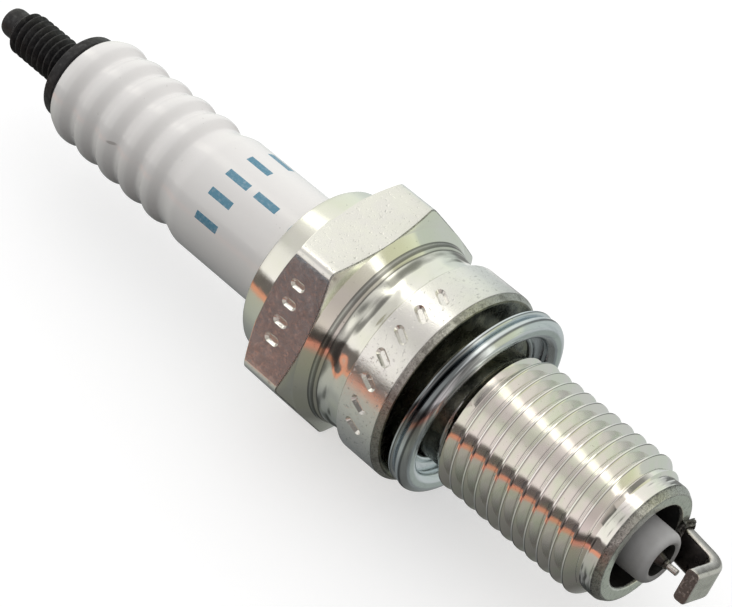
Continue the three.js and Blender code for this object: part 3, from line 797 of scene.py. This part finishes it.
def indent(bm, size, place):
    """Adds one cutter: a rounded slot, narrower at its floor, with its long side along local x."""
    width, length, depth = size
    around = 16
    rings = []
    for level, share in ((0.3, 1.25), (0.0, 1.0), (-depth, 0.45)):  # height and share of the width
        ring = []
        for i in range(around):
            angle = 2 * pi * (i + 0.5) / around
            straight = copysign((length - width) / 2, cos(angle))
            along = straight + width / 2 * share * cos(angle)
            across = width / 2 * share * sin(angle)
            ring.append(bm.verts.new(place @ Vector((along, across, level))))
        rings.append(ring)
    bridge(bm, rings)
    bm.faces.new(rings[0])
    bm.faces.new(rings[-1])


def indents():
    """Cutters for plain indents in place of stamped characters, along one flat and round the flange."""
    bm = bmesh.new()
    lie = Matrix.Rotation(STAMPED_FLAT, 4, "X")
    for i in range(STAMP_COUNT):
        stamp = STAMP_X, STAMP_PITCH * (i - 1.25), HEX_FLATS / 2
        indent(bm, STAMP_SIZE, lie @ Matrix.Translation(stamp))
    slant = Matrix.Rotation(SLOT_SLANT, 4, "Z")
    for i in range(SLOT_COUNT):
        turn = Matrix.Rotation(radians(SLOT_FIRST + SLOT_PITCH * i), 4, "X")
        indent(bm, SLOT_SIZE, turn @ Matrix.Translation((SLOT_X, 0, FLANGE)) @ slant)
    bmesh.ops.recalc_face_normals(bm, faces=bm.faces)
    to_world(bm)
    return to_object("indents", bm)


def cut(made, cutter):
    """Takes the cutter out of a piece and removes the cutter."""
    modifier = made.modifiers.new("cut", "BOOLEAN")
    modifier.operation = "DIFFERENCE"
    modifier.object = cutter
    evaluated = made.evaluated_get(bpy.context.evaluated_depsgraph_get())
    mesh = bpy.data.meshes.new_from_object(evaluated)
    made.modifiers.remove(modifier)
    made.data = mesh
    bpy.data.objects.remove(cutter)


def metal_shell():
    bm = bmesh.new()
    angles = hex_angles()
    start, end = THREAD["start"], THREAD["end"]
    run_in = [(start, RELIEF), (start + 0.35, 5.3), (start + 1.1, 6.2)]
    run_out = [(end - 0.9, 6.2), (end - 0.2, 5.35), (end, RUN_OUT)]
    thread = threaded_columns(angles, THREAD, THREAD_SECTION, run_in + run_out)
    skin(bm, angles, [upper_outline(angle) for angle in angles])
    skin(bm, angles, thread, lead=len(THREAD_SECTION))
    skin(bm, angles, [lower_outline(angle) for angle in angles])
    materials = [SATIN, STAMPED_PAINTED_SHADE, TURNED, THREADED, SHADED, END, SCUFFED, BORE]
    shell = piece("shell_body", bm, materials, "plated_steel", node="metal_shell", zone=shell_zone)
    cut(shell, indents())


# ------------ gasket


def seat_gasket():
    """Sheet folded into two rolls: a thin one towards the shell and a fat one towards the thread."""
    back = (GASKET_GROOVE - GASKET_BACK) / 2
    front = (GASKET_FRONT - GASKET_GROOVE) / 2
    half_width = (GASKET_OUTER - GASKET_OPENING) / 2
    bead = [
        (GASKET_OPENING + half_width + half_width * r, GASKET_GROOVE + front + front * x)
        for r, x in arc(0, 0, 1, -72, 225, 36)
    ]
    section = [
        *arc(GASKET_OUTER - 0.04 - back, GASKET_BACK + back, back, -90, 62, 12),
        *bead,
        (GASKET_LIP + 0.45, GASKET_GROOVE - 0.1, 0.1),
        *arc(GASKET_LIP + 0.25, GASKET_GROOVE - 0.35, 0.25, 90, 270, 8),
    ]
    lean = tan(GASKET_TILT)
    normal = Vector((1, lean * cos(GASKET_LOW_SIDE), lean * sin(GASKET_LOW_SIDE)))
    tilt = Vector((1, 0, 0)).rotation_difference(normal.normalized()).to_matrix().to_4x4()
    across = GASKET_OFFSET * cos(GASKET_OFFSET_CLOCK)
    up = GASKET_OFFSET * sin(GASKET_OFFSET_CLOCK)
    turned(
        "seat_gasket_ring",
        section,
        [SHEET],
        "gasket_steel",
        count=144,
        body=GASKET_BODY,
        node="seat_gasket",
        turn=Matrix.Translation((GASKET_CENTRE, across, up)) @ tilt,
        smooth=50,
    )


# ------------ ceramic and terminal


def rib_points():
    """The ribbed head, from the barrel towards the terminal."""
    steps = 20
    points = []
    for rib in range(RIB_COUNT):
        crest = RIB_CREST - rib * RIB_TAPER
        last = rib == RIB_COUNT - 1
        for step in range(steps * 3 // 4 if last else steps):
            wave = (0.5 + 0.5 * cos(2 * pi * step / steps)) ** 1.3
            points.append((crest - RIB_DEPTH * wave, RIB_FIRST_ROOT - (rib + step / steps) * RIB_PITCH))
    return points


# Bars of ink in two rows along the barrel, each at some degrees from straight up towards -Y
INK_ROWS = {(-24.6, -22.2): (-40, -12, 13, 36, 61), (-21.4, -19.0): (13,)}
INK_HALF_WIDTH = 4


def insulator_zone(face):
    """Glaze, with plain bars of ink in place of printed characters, a bare nose, and painted shadow in the
    bore and the recess.
    """
    place = face.calc_center_median()
    radius = hypot(place.y, place.z)
    if place.x > 4:
        return BORE if radius < RECESS + 0.02 else BARE
    around = degrees(atan2(-place.y, place.z))
    for (start, end), middles in INK_ROWS.items():
        on_bar = any(abs(around - middle) < INK_HALF_WIDTH for middle in middles)
        if radius > 5 and start < place.x < end and on_bar:
            return INK
    return GLAZE


def neck_points():
    """The barrel's smooth fall to the first groove."""
    steps = 10
    fall = 0.265
    waves = [1 - cos(pi * i / steps) for i in range(1, steps)]
    return [(BARREL - fall * wave, BARREL_TOP - 0.22 * (i + 1)) for i, wave in enumerate(waves)]


def insulator():
    outline = [
        (NOSE - NOSE_ROUNDING, NOSE_END, 0.1),
        *arc(NOSE - NOSE_ROUNDING, NOSE_END - NOSE_ROUNDING, NOSE_ROUNDING, 80, 0, 10),
        (NOSE + 0.15, 13),
        (3.0, 5.0, 0.2),
        (4.0, 4.35, 0.2),
        (4.0, -1.9, 0.2),
        (6.2, -3.9, 0.2),
        (6.2, -11.0, 0.3),
        (BARREL, -11.5, 0.2),
        *[(BARREL, x) for x in sorted(sum(INK_ROWS, ()), reverse=True)],
        (BARREL, BARREL_TOP),
        *neck_points(),
        *rib_points(),
        (4.35, HEAD_END + 0.3, 0.25),
        (3.9, HEAD_END, 0.15),
        (1.85, HEAD_END, 0.05),
        (1.85, -1.0, 0.05),
        (1.2, -0.5, 0.05),
        (1.2, 18.6, 0.1),
        (RECESS - 0.1, NOSE_END - 0.5, 0.1),
        (RECESS, NOSE_END - 0.12, 0.1),
    ]
    turned(
        "ceramic_insulator",
        outline,
        [GLAZE, BARE, BORE, INK],
        "glazed_alumina",
        count=144,
        node="insulator",
        zone=insulator_zone,
    )


# One turn of the stud's thread, as THREAD_SECTION
STUD_SECTION = [
    (0.0, 0.0),
    (0.06, 0.03),
    (0.12, 0.12),
    (0.40, 0.88),
    (0.44, 0.97),
    (0.48, 1.0),
    (0.56, 1.0),
    (0.60, 0.97),
    (0.64, 0.88),
    (0.90, 0.12),
    (0.95, 0.03),
]


def terminal_stud():
    bm = bmesh.new()
    angles = even_angles(72)
    start, end = STUD_THREAD["start"], STUD_THREAD["end"]
    neck = STUD_POINT + 0.15
    limits = [(start, STUD_POINT), (start + 0.7, 2.0), (end - 0.5, 2.0), (end, neck)]
    tip = softened(
        [
            (0, STUD_TIP),
            (1.15, STUD_TIP, 0.2),
            (STUD_POINT, STUD_TIP + 0.4, 0.2),
            (STUD_POINT, start),
        ]
    )
    foot = softened(
        [
            (neck, end),
            (neck, STUD_FLANGE_TOP, 0.08),
            (STUD_FLANGE - 0.1, STUD_FLANGE_TOP, 0.1),
            (STUD_FLANGE, STUD_FLANGE_TOP + 0.12, 0.1),
            (STUD_FLANGE, STUD_FLANGE_BOTTOM - 0.1, 0.1),
            (STUD_FLANGE - 0.1, STUD_FLANGE_BOTTOM, 0.1),
            (1.6, STUD_FLANGE_BOTTOM, 0.1),
            (1.6, -17.3, 0.1),
            (1.3, -17.0, 0.1),
            (0, -17.0),
        ]
    )
    thread = threaded_columns(angles, STUD_THREAD, STUD_SECTION, limits)
    skin(bm, angles, [tip] * len(angles))
    skin(bm, angles, thread, lead=len(STUD_SECTION))
    skin(bm, angles, [foot] * len(angles))
    piece("terminal_stud_body", bm, [BLACKENED], "blackened_steel", node="terminal_stud")


# ------------ electrodes


def centre_electrode():
    """Headed nickel rod with a tapered tip, bored for its copper core and for the fine wire."""
    outline = [
        (0.6, -2.9, 0.05),
        (1.6, -2.9, 0.1),
        (1.6, -1.15, 0.1),
        (ELECTRODE, -0.7, 0.1),
        (ELECTRODE, 18.9, 0.15),
        (ELECTRODE_TIP, ELECTRODE_END - 0.1, 0.05),
        (ELECTRODE_TIP - 0.03, ELECTRODE_END, 0.02),
        (PIN_HOLE, ELECTRODE_END),
        (PIN_HOLE, 20.25),
        (0.0, 20.25),
        (0.0, 17.55),
        (0.6, 17.5, 0.05),
    ]
    # painted shade: the whole rod takes dark nickel, for the dark recess round its tip
    turned("centre_electrode_body", outline, [NICKEL_PAINTED_SHADE], "nickel_alloy", count=48, node="centre_electrode")


def iridium_tip():
    outline = [(0, PIN_FOOT), (PIN, PIN_FOOT, 0.02), (PIN, PIN_TIP, 0.03), (0, PIN_TIP)]
    turned("iridium_pin", outline, [IRIDIUM], "iridium", count=32, node="iridium_tip")


def tip_weld():
    start = ELECTRODE_END + 0.025
    outline = [
        (PIN_HOLE, start),
        (ELECTRODE_TIP - 0.02, start, 0.03),
        (ELECTRODE_TIP + 0.02, start + 0.12, 0.05),
        (0.31, TIP_WELD_END - 0.02, 0.03),
        (PIN_HOLE, TIP_WELD_END),
    ]
    turned("tip_weld_bead", outline, [WELD], "weld_metal", count=32, node="tip_weld")


def strap_frame():
    """Matrix from strap coordinates (outward, along the axis, across) to the plug's own."""
    outward = Vector((0, cos(STRAP_CLOCK), sin(STRAP_CLOCK)))
    along = Vector((1, 0, 0))
    across = outward.cross(along)
    return Matrix((outward, along, across)).transposed().to_4x4()


def strap_stations():
    """Stations along the strap: a point on its middle line and the direction of its outer face."""
    arm_x = STRAP_OUTER_X - STRAP_THICKNESS / 2
    bend_x = arm_x - STRAP_BEND
    rise = bend_x + STRAP_BEND * sin(STRAP_LEAN) - REACH - FIT
    bend_r = STRAP_FOOT - rise * tan(STRAP_LEAN) - STRAP_BEND * cos(STRAP_LEAN)
    bend = Vector((bend_r, bend_x))
    foot = Vector((STRAP_FOOT, REACH + FIT))
    stations = [(foot, Vector((1 / cos(STRAP_LEAN), 0)))]
    normal = Vector((cos(STRAP_LEAN), sin(STRAP_LEAN)))
    leg_end = bend + normal * STRAP_BEND
    for i in range(1, 8):
        stations.append((foot.lerp(leg_end, i / 8), normal))
    steps = 18
    for i in range(steps + 1):
        angle = STRAP_LEAN + (pi / 2 - STRAP_LEAN) * i / steps
        normal = Vector((cos(angle), sin(angle)))
        stations.append((bend + normal * STRAP_BEND, normal))
    arm_start = Vector((bend_r, arm_x))
    arm_end = Vector((-STRAP_OVERSHOOT, arm_x))
    for i in range(1, 9):
        stations.append((arm_start.lerp(arm_end, i / 8), normal))
    return stations


def strap_section():
    """Rounded rectangle as (towards the outer face, across) points."""
    thick, wide = STRAP_THICKNESS / 2 - STRAP_EDGE, STRAP_WIDTH / 2 - STRAP_EDGE
    points = []
    for quarter, (u, v) in enumerate([(thick, wide), (-thick, wide), (-thick, -wide), (thick, -wide)]):
        for i in range(6):
            angle = radians(90 * quarter + 18 * i)
            points.append((u + STRAP_EDGE * cos(angle), v + STRAP_EDGE * sin(angle)))
    return points


def strap_zone(face):
    """Bright drawn faces, painted shade on the inner face of the leg, and a torn cut end (in strap
    coordinates).
    """
    place, normal = face.calc_center_median(), face.normal
    if place.x < -STRAP_OVERSHOOT + 0.02:
        return SHEARED
    # painted shade: the leg's inner face, which looks towards the nose, takes dark nickel
    inner = normal.x < -0.8 and place.y < STRAP_OUTER_X - 1.0
    return NICKEL_PAINTED_SHADE if inner else NICKEL


def ground_electrode():
    bm = bmesh.new()
    section = strap_section()
    rings = []
    stations = strap_stations()
    for middle, normal in stations:
        ring = []
        for u, v in section:
            place = middle + normal * u
            ring.append(bm.verts.new((place.x, place.y, v)))
        rings.append(ring)
    # a short bevel and a slightly uneven cut at the free end
    middle, normal = stations[-1]
    torn_end = []
    for u, v in section:
        ragged = 0.05 * noise.noise(Vector((u * 3, v * 3, 7)))
        torn_end.append(bm.verts.new((middle.x + ragged, middle.y + normal.y * u * 0.94, v * 0.97)))
    for vert in rings[-1]:
        vert.co.x += 0.07
    rings.append(torn_end)
    bridge(bm, rings)
    bm.faces.new(rings[0])
    bm.faces.new(rings[-1])
    piece(
        "ground_strap",
        bm,
        [NICKEL, NICKEL_PAINTED_SHADE, SHEARED],
        "nickel_alloy",
        node="ground_electrode",
        zone=strap_zone,
        turn=strap_frame(),
    )


def ground_electrode_weld():
    """Splashed flash round the strap's foot: a ring with a rounded section, torn into lumps and burrs."""
    bm = bmesh.new()
    around, profile = 120, 12
    thick, wide = STRAP_THICKNESS / 2 + 2 * FIT, STRAP_WIDTH / 2 + 2 * FIT
    rings = []
    for i in range(around):
        angle = 2 * pi * i / around
        c, s = cos(angle), sin(angle)
        stretch = 1 / max(abs(c) / thick, abs(s) / wide)
        inner = Vector((c * stretch, s * stretch))
        out = Vector((c, s * 0.9)).normalized()
        lump = 0.8 + 0.5 * noise.noise(Vector((c * 2.1, s * 2.1, 3.0)))
        ring = [(inner, 0.0)]
        for j in range(profile + 1):
            t = pi / 2 * j / profile
            burr = 1 + 0.55 * noise.noise(Vector((c * 6.5, s * 6.5, 4 * t))) * sin(2 * t)
            height = WELD_HEIGHT * lump * burr * sin(t)
            spread = WELD_SPREAD * min(1.0, lump) * burr * cos(t)
            ring.append((inner + out * spread, height))
        foot = STRAP_FOOT, REACH + FIT
        places = [(foot[0] + p.x - h * tan(STRAP_LEAN), foot[1] + h, p.y) for p, h in ring]
        rings.append([bm.verts.new(place) for place in places])
    bridge(bm, rings + rings[:1])
    piece(
        "ground_strap_weld",
        bm,
        [WELD],
        "weld_metal",
        node="ground_electrode_weld",
        turn=strap_frame(),
        smooth=45,
    )


metal_shell()
seat_gasket()
insulator()
terminal_stud()
centre_electrode()
iridium_tip()
tip_weld()
ground_electrode()
ground_electrode_weld()

# ------------ CAD pieces hidden inside, kept as they are

PACKING = (0.45, 0.46, 0.47)
HIDDEN = {
    "upper_glass_seal": fused_glass("seal_glass_upper", (0.10, 0.09, 0.08), 0.3),
    "lower_glass_seal": fused_glass("seal_glass_lower", (0.10, 0.09, 0.08), 0.3),
    "resistor_body": fused_glass("resistor_glass", (0.20, 0.18, 0.16), 0.6),
    "talc_packing": fused_glass("talc_powder", (0.85, 0.83, 0.78), 0.9),
    "centre_electrode_core": hidden_metal("copper_core", (0.72, 0.38, 0.22), 0.35),
    "upper_packing_ring": hidden_metal("packing_ring_upper", PACKING, 0.4),
    "lower_packing_ring": hidden_metal("packing_ring_lower", PACKING, 0.4),
    "seat_packing_washer": hidden_metal("packing_washer", PACKING, 0.4),
}
for node, material in HIDDEN.items():
    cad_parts[node].material_slots[0].material = material

# ------------ floor, light and camera


KEY = radians(43.03), radians(47.94)  # the camera's azimuth and elevation; the panels are set out for them
ROLL = radians(4.94)
AIM = Vector((-8.425, -1.85, 3.97))  # where the camera looks
DISTANCE = 207.2  # from there
LENS = 137.7
SENSOR = 36


def towards(azimuth, elevation):
    """Unit vector from the plug towards an azimuth, measured from -Y, and an elevation."""
    level = Vector((sin(azimuth), -cos(azimuth), 0)) * cos(elevation)
    return level + Vector((0, 0, sin(elevation)))


def pale_floor():
    """A pale floor that only the camera sees, so that it sends no light up to the plug."""
    material = bpy.data.materials.new("pale_floor")
    material.use_nodes = True
    tree = Tree(material.node_tree)
    tree.tree.nodes.remove(tree.first("BSDF_PRINCIPLED"))
    diffuse = tree.node("ShaderNodeBsdfDiffuse", {"Color": (0.62, 0.62, 0.62, 1)}).outputs[0]
    glow = tree.node("ShaderNodeEmission", {"Strength": 0.5}).outputs[0]
    lit = tree.node("ShaderNodeAddShader", {0: diffuse, 1: glow}).outputs[0]
    unseen = tree.node("ShaderNodeBsdfTransparent").outputs[0]
    from_camera = tree.node("ShaderNodeLightPath").outputs["Is Camera Ray"]
    shown = tree.node("ShaderNodeMixShader", {"Fac": from_camera, 1: unseen, 2: lit}).outputs[0]
    tree.link(shown, tree.first("OUTPUT_MATERIAL").inputs["Surface"])
    bm = bmesh.new()
    bmesh.ops.create_grid(bm, x_segments=1, y_segments=1, size=4.0)
    floor = to_object("floor", bm, [material])
    floor.location.z = cad_box[0][2]


# What bright metal shows round the plug when it is seen from KEY, by the direction in which its face looks:
# degrees from straight up towards -Y, for turned sides, for faces that lean towards the gap, and for faces
# that lean nearly all the way.
SIDE_PANELS = [
    (-180, (0.45, 0.47, 0.46)),
    (-100, (0.55, 0.58, 0.57)),
    (-62, (0.80, 0.82, 0.80)),
    (-52, (0.95, 0.95, 0.93)),
    (-44, (0.62, 0.66, 0.65)),
    (-30, (0.74, 0.78, 0.75)),
    (-22, (0.92, 0.95, 0.88)),
    (-8, (0.92, 0.93, 0.85)),
    (4, (1.02, 1.0, 0.94)),
    (8, (1.9, 1.85, 1.7)),
    (12.5, (1.9, 1.85, 1.7)),
    (15, (1.0, 0.97, 0.93)),
    (22, (0.72, 0.69, 0.67)),
    (31, (0.70, 0.68, 0.65)),
    (36, (0.95, 0.92, 0.88)),
    (52.8, (1.08, 1.03, 0.99)),
    (53.6, (0.15, 0.13, 0.12)),
    (62.0, (0.17, 0.15, 0.14)),
    (62.6, (0.90, 0.36, 0.22)),
    (66.0, (0.75, 0.36, 0.24)),
    (66.8, (0.50, 0.49, 0.43)),
    (80, (0.43, 0.44, 0.40)),
    (92, (0.27, 0.28, 0.27)),
    (112, (0.16, 0.17, 0.17)),
    (130, (0.26, 0.27, 0.27)),
    (180, (0.45, 0.47, 0.46)),
]
LEANING_PANELS = [
    (-180, (0.40, 0.42, 0.40)),
    (-70, (0.58, 0.61, 0.59)),
    (-19, (0.60, 0.64, 0.58)),
    (-17.5, (0.85, 0.88, 0.68)),
    (-8, (0.72, 0.73, 0.52)),
    (5, (0.68, 0.66, 0.50)),
    (8.5, (1.7, 1.65, 1.5)),
    (12, (1.7, 1.65, 1.5)),
    (14, (0.72, 0.68, 0.60)),
    (26, (0.55, 0.50, 0.46)),
    (38, (0.56, 0.50, 0.47)),
    (53, (0.80, 0.70, 0.68)),
    (53.8, (0.07, 0.06, 0.055)),
    (60.5, (0.06, 0.05, 0.05)),
    (61.5, (0.75, 0.28, 0.20)),
    (65.5, (0.50, 0.26, 0.20)),
    (66.5, (0.30, 0.28, 0.23)),
    (80, (0.24, 0.24, 0.20)),
    (95, (0.17, 0.17, 0.155)),
    (120, (0.13, 0.13, 0.12)),
    (180, (0.40, 0.42, 0.40)),
]
STEEP_PANELS = [
    (-180, (0.30, 0.31, 0.30)),
    (-60, (0.60, 0.62, 0.60)),
    (-15, (0.58, 0.59, 0.55)),
    (10, (0.40, 0.41, 0.38)),
    (25, (0.17, 0.17, 0.17)),
    (50, (0.12, 0.12, 0.12)),
    (100, (0.20, 0.21, 0.20)),
    (180, (0.30, 0.31, 0.30)),
]
# Brightness by a face's lean, from -1 towards the terminal to 1 towards the gap
LEAN_SHADE = [(-1, 0.6), (-0.6, 0.85), (-0.2, 1), (0.08, 1), (0.2, 0.3), (0.4, 0.25), (0.54, 1), (1, 1)]
# The lean at which each set of panels, and the plain tone of each end, begins and is all there is
LEANING_FROM = 0.2, 0.5
STEEP_FROM = 0.9, 0.925
GAP_END_FROM = 0.965, 0.985
TERMINAL_END_FROM = -0.85, -0.97
GAP_END = (0.36, 0.39, 0.35)
TERMINAL_END = (0.60, 0.62, 0.60)
WASH_FROM = Vector((-0.3, 0.44, 0.44))  # soft light on matt faces
WASH_LEVEL = 0.63
TWICE_MIRRORED_SHADE = 0.85  # the least brightness by lean for light that metal mirrors twice
TWICE_MIRRORED = (0.14, 0.13, 0.13)  # the least light that metal mirrors twice


def studio():
    """Light from all round. Metal mirrors panels that show as strips along the plug, each on the faces that
    look halfway between the panel and KEY. Light that metal mirrors twice is dimmed less, which keeps the
    thread's far flanks bright. Matt faces take a softer light from above and behind."""
    world = bpy.data.worlds.new("studio")
    bpy.context.scene.world = world
    world.use_nodes = True
    world.cycles.sampling_method = "NONE"
    tree = Tree(world.node_tree)
    direction = tree.node("ShaderNodeTexCoord").outputs["Generated"]
    halfway = tree.vector_math("ADD", direction, towards(*KEY))
    face = tree.vector_math("NORMALIZE", halfway.outputs["Vector"]).outputs["Vector"]
    lean, y, z = tree.split(face)
    around = tree.math("ARCTAN2", tree.math("MULTIPLY", y, -1.0), z)
    around = tree.math("MULTIPLY", around, degrees(1))
    side = tree.ramp(around, -180, 180, SIDE_PANELS)
    leaning = tree.ramp(around, -180, 180, LEANING_PANELS)
    steep = tree.ramp(around, -180, 180, STEEP_PANELS)
    panels = tree.mix(tree.remap(lean, *LEANING_FROM), side, leaning)
    panels = tree.mix(tree.remap(lean, *STEEP_FROM), panels, steep)
    rays = tree.node("ShaderNodeLightPath")
    repeated = tree.remap(rays.outputs["Ray Depth"], 2.2, 2.8)  # depth 2 is the first reflection
    shade = tree.ramp(lean, -1, 1, LEAN_SHADE)
    shade = tree.math("MAXIMUM", shade, tree.math("MULTIPLY", repeated, TWICE_MIRRORED_SHADE))
    shaded = tree.vector_math("MULTIPLY", panels, shade).outputs["Vector"]
    shaded = tree.mix(tree.remap(lean, *GAP_END_FROM), shaded, GAP_END)
    mirrored = tree.mix(tree.remap(lean, *TERMINAL_END_FROM), shaded, TERMINAL_END)
    lifted = tree.vector_math("MAXIMUM", mirrored, TWICE_MIRRORED).outputs["Vector"]
    mirrored = tree.mix(repeated, mirrored, lifted)
    wash = tree.vector_math("DOT_PRODUCT", direction, WASH_FROM).outputs["Value"]
    wash = tree.math("MAXIMUM", tree.math("ADD", wash, WASH_LEVEL), 0.02)
    light = tree.mix(rays.outputs["Is Diffuse Ray"], mirrored, wash)
    light = tree.mix(rays.outputs["Is Camera Ray"], light, (1.0, 1.0, 1.0))
    tree.link(light, tree.first("BACKGROUND").inputs["Color"])
    bpy.context.scene.view_settings.view_transform = "Standard"


def photo_camera():
    """The camera at the photo's angle: it looks from KEY at AIM, with a small roll."""
    back = towards(*KEY)
    right = Vector((cos(KEY[0]), sin(KEY[0]), 0))
    up = back.cross(right)
    turned_right = right * cos(ROLL) + up * sin(ROLL)
    turned_up = up * cos(ROLL) - right * sin(ROLL)
    turn = Matrix((turned_right, turned_up, back)).transposed().to_4x4()
    data = bpy.data.cameras.new("camera")
    data.lens = LENS
    data.sensor_width = SENSOR
    data.clip_start = 0.01
    camera = bpy.data.objects.new("camera", data)
    bpy.context.scene.collection.objects.link(camera)
    camera.matrix_world = Matrix.Translation(SEAT + (AIM + back * DISTANCE) * MM) @ turn
    bpy.context.scene.camera = camera


pale_floor()
studio()
photo_camera()
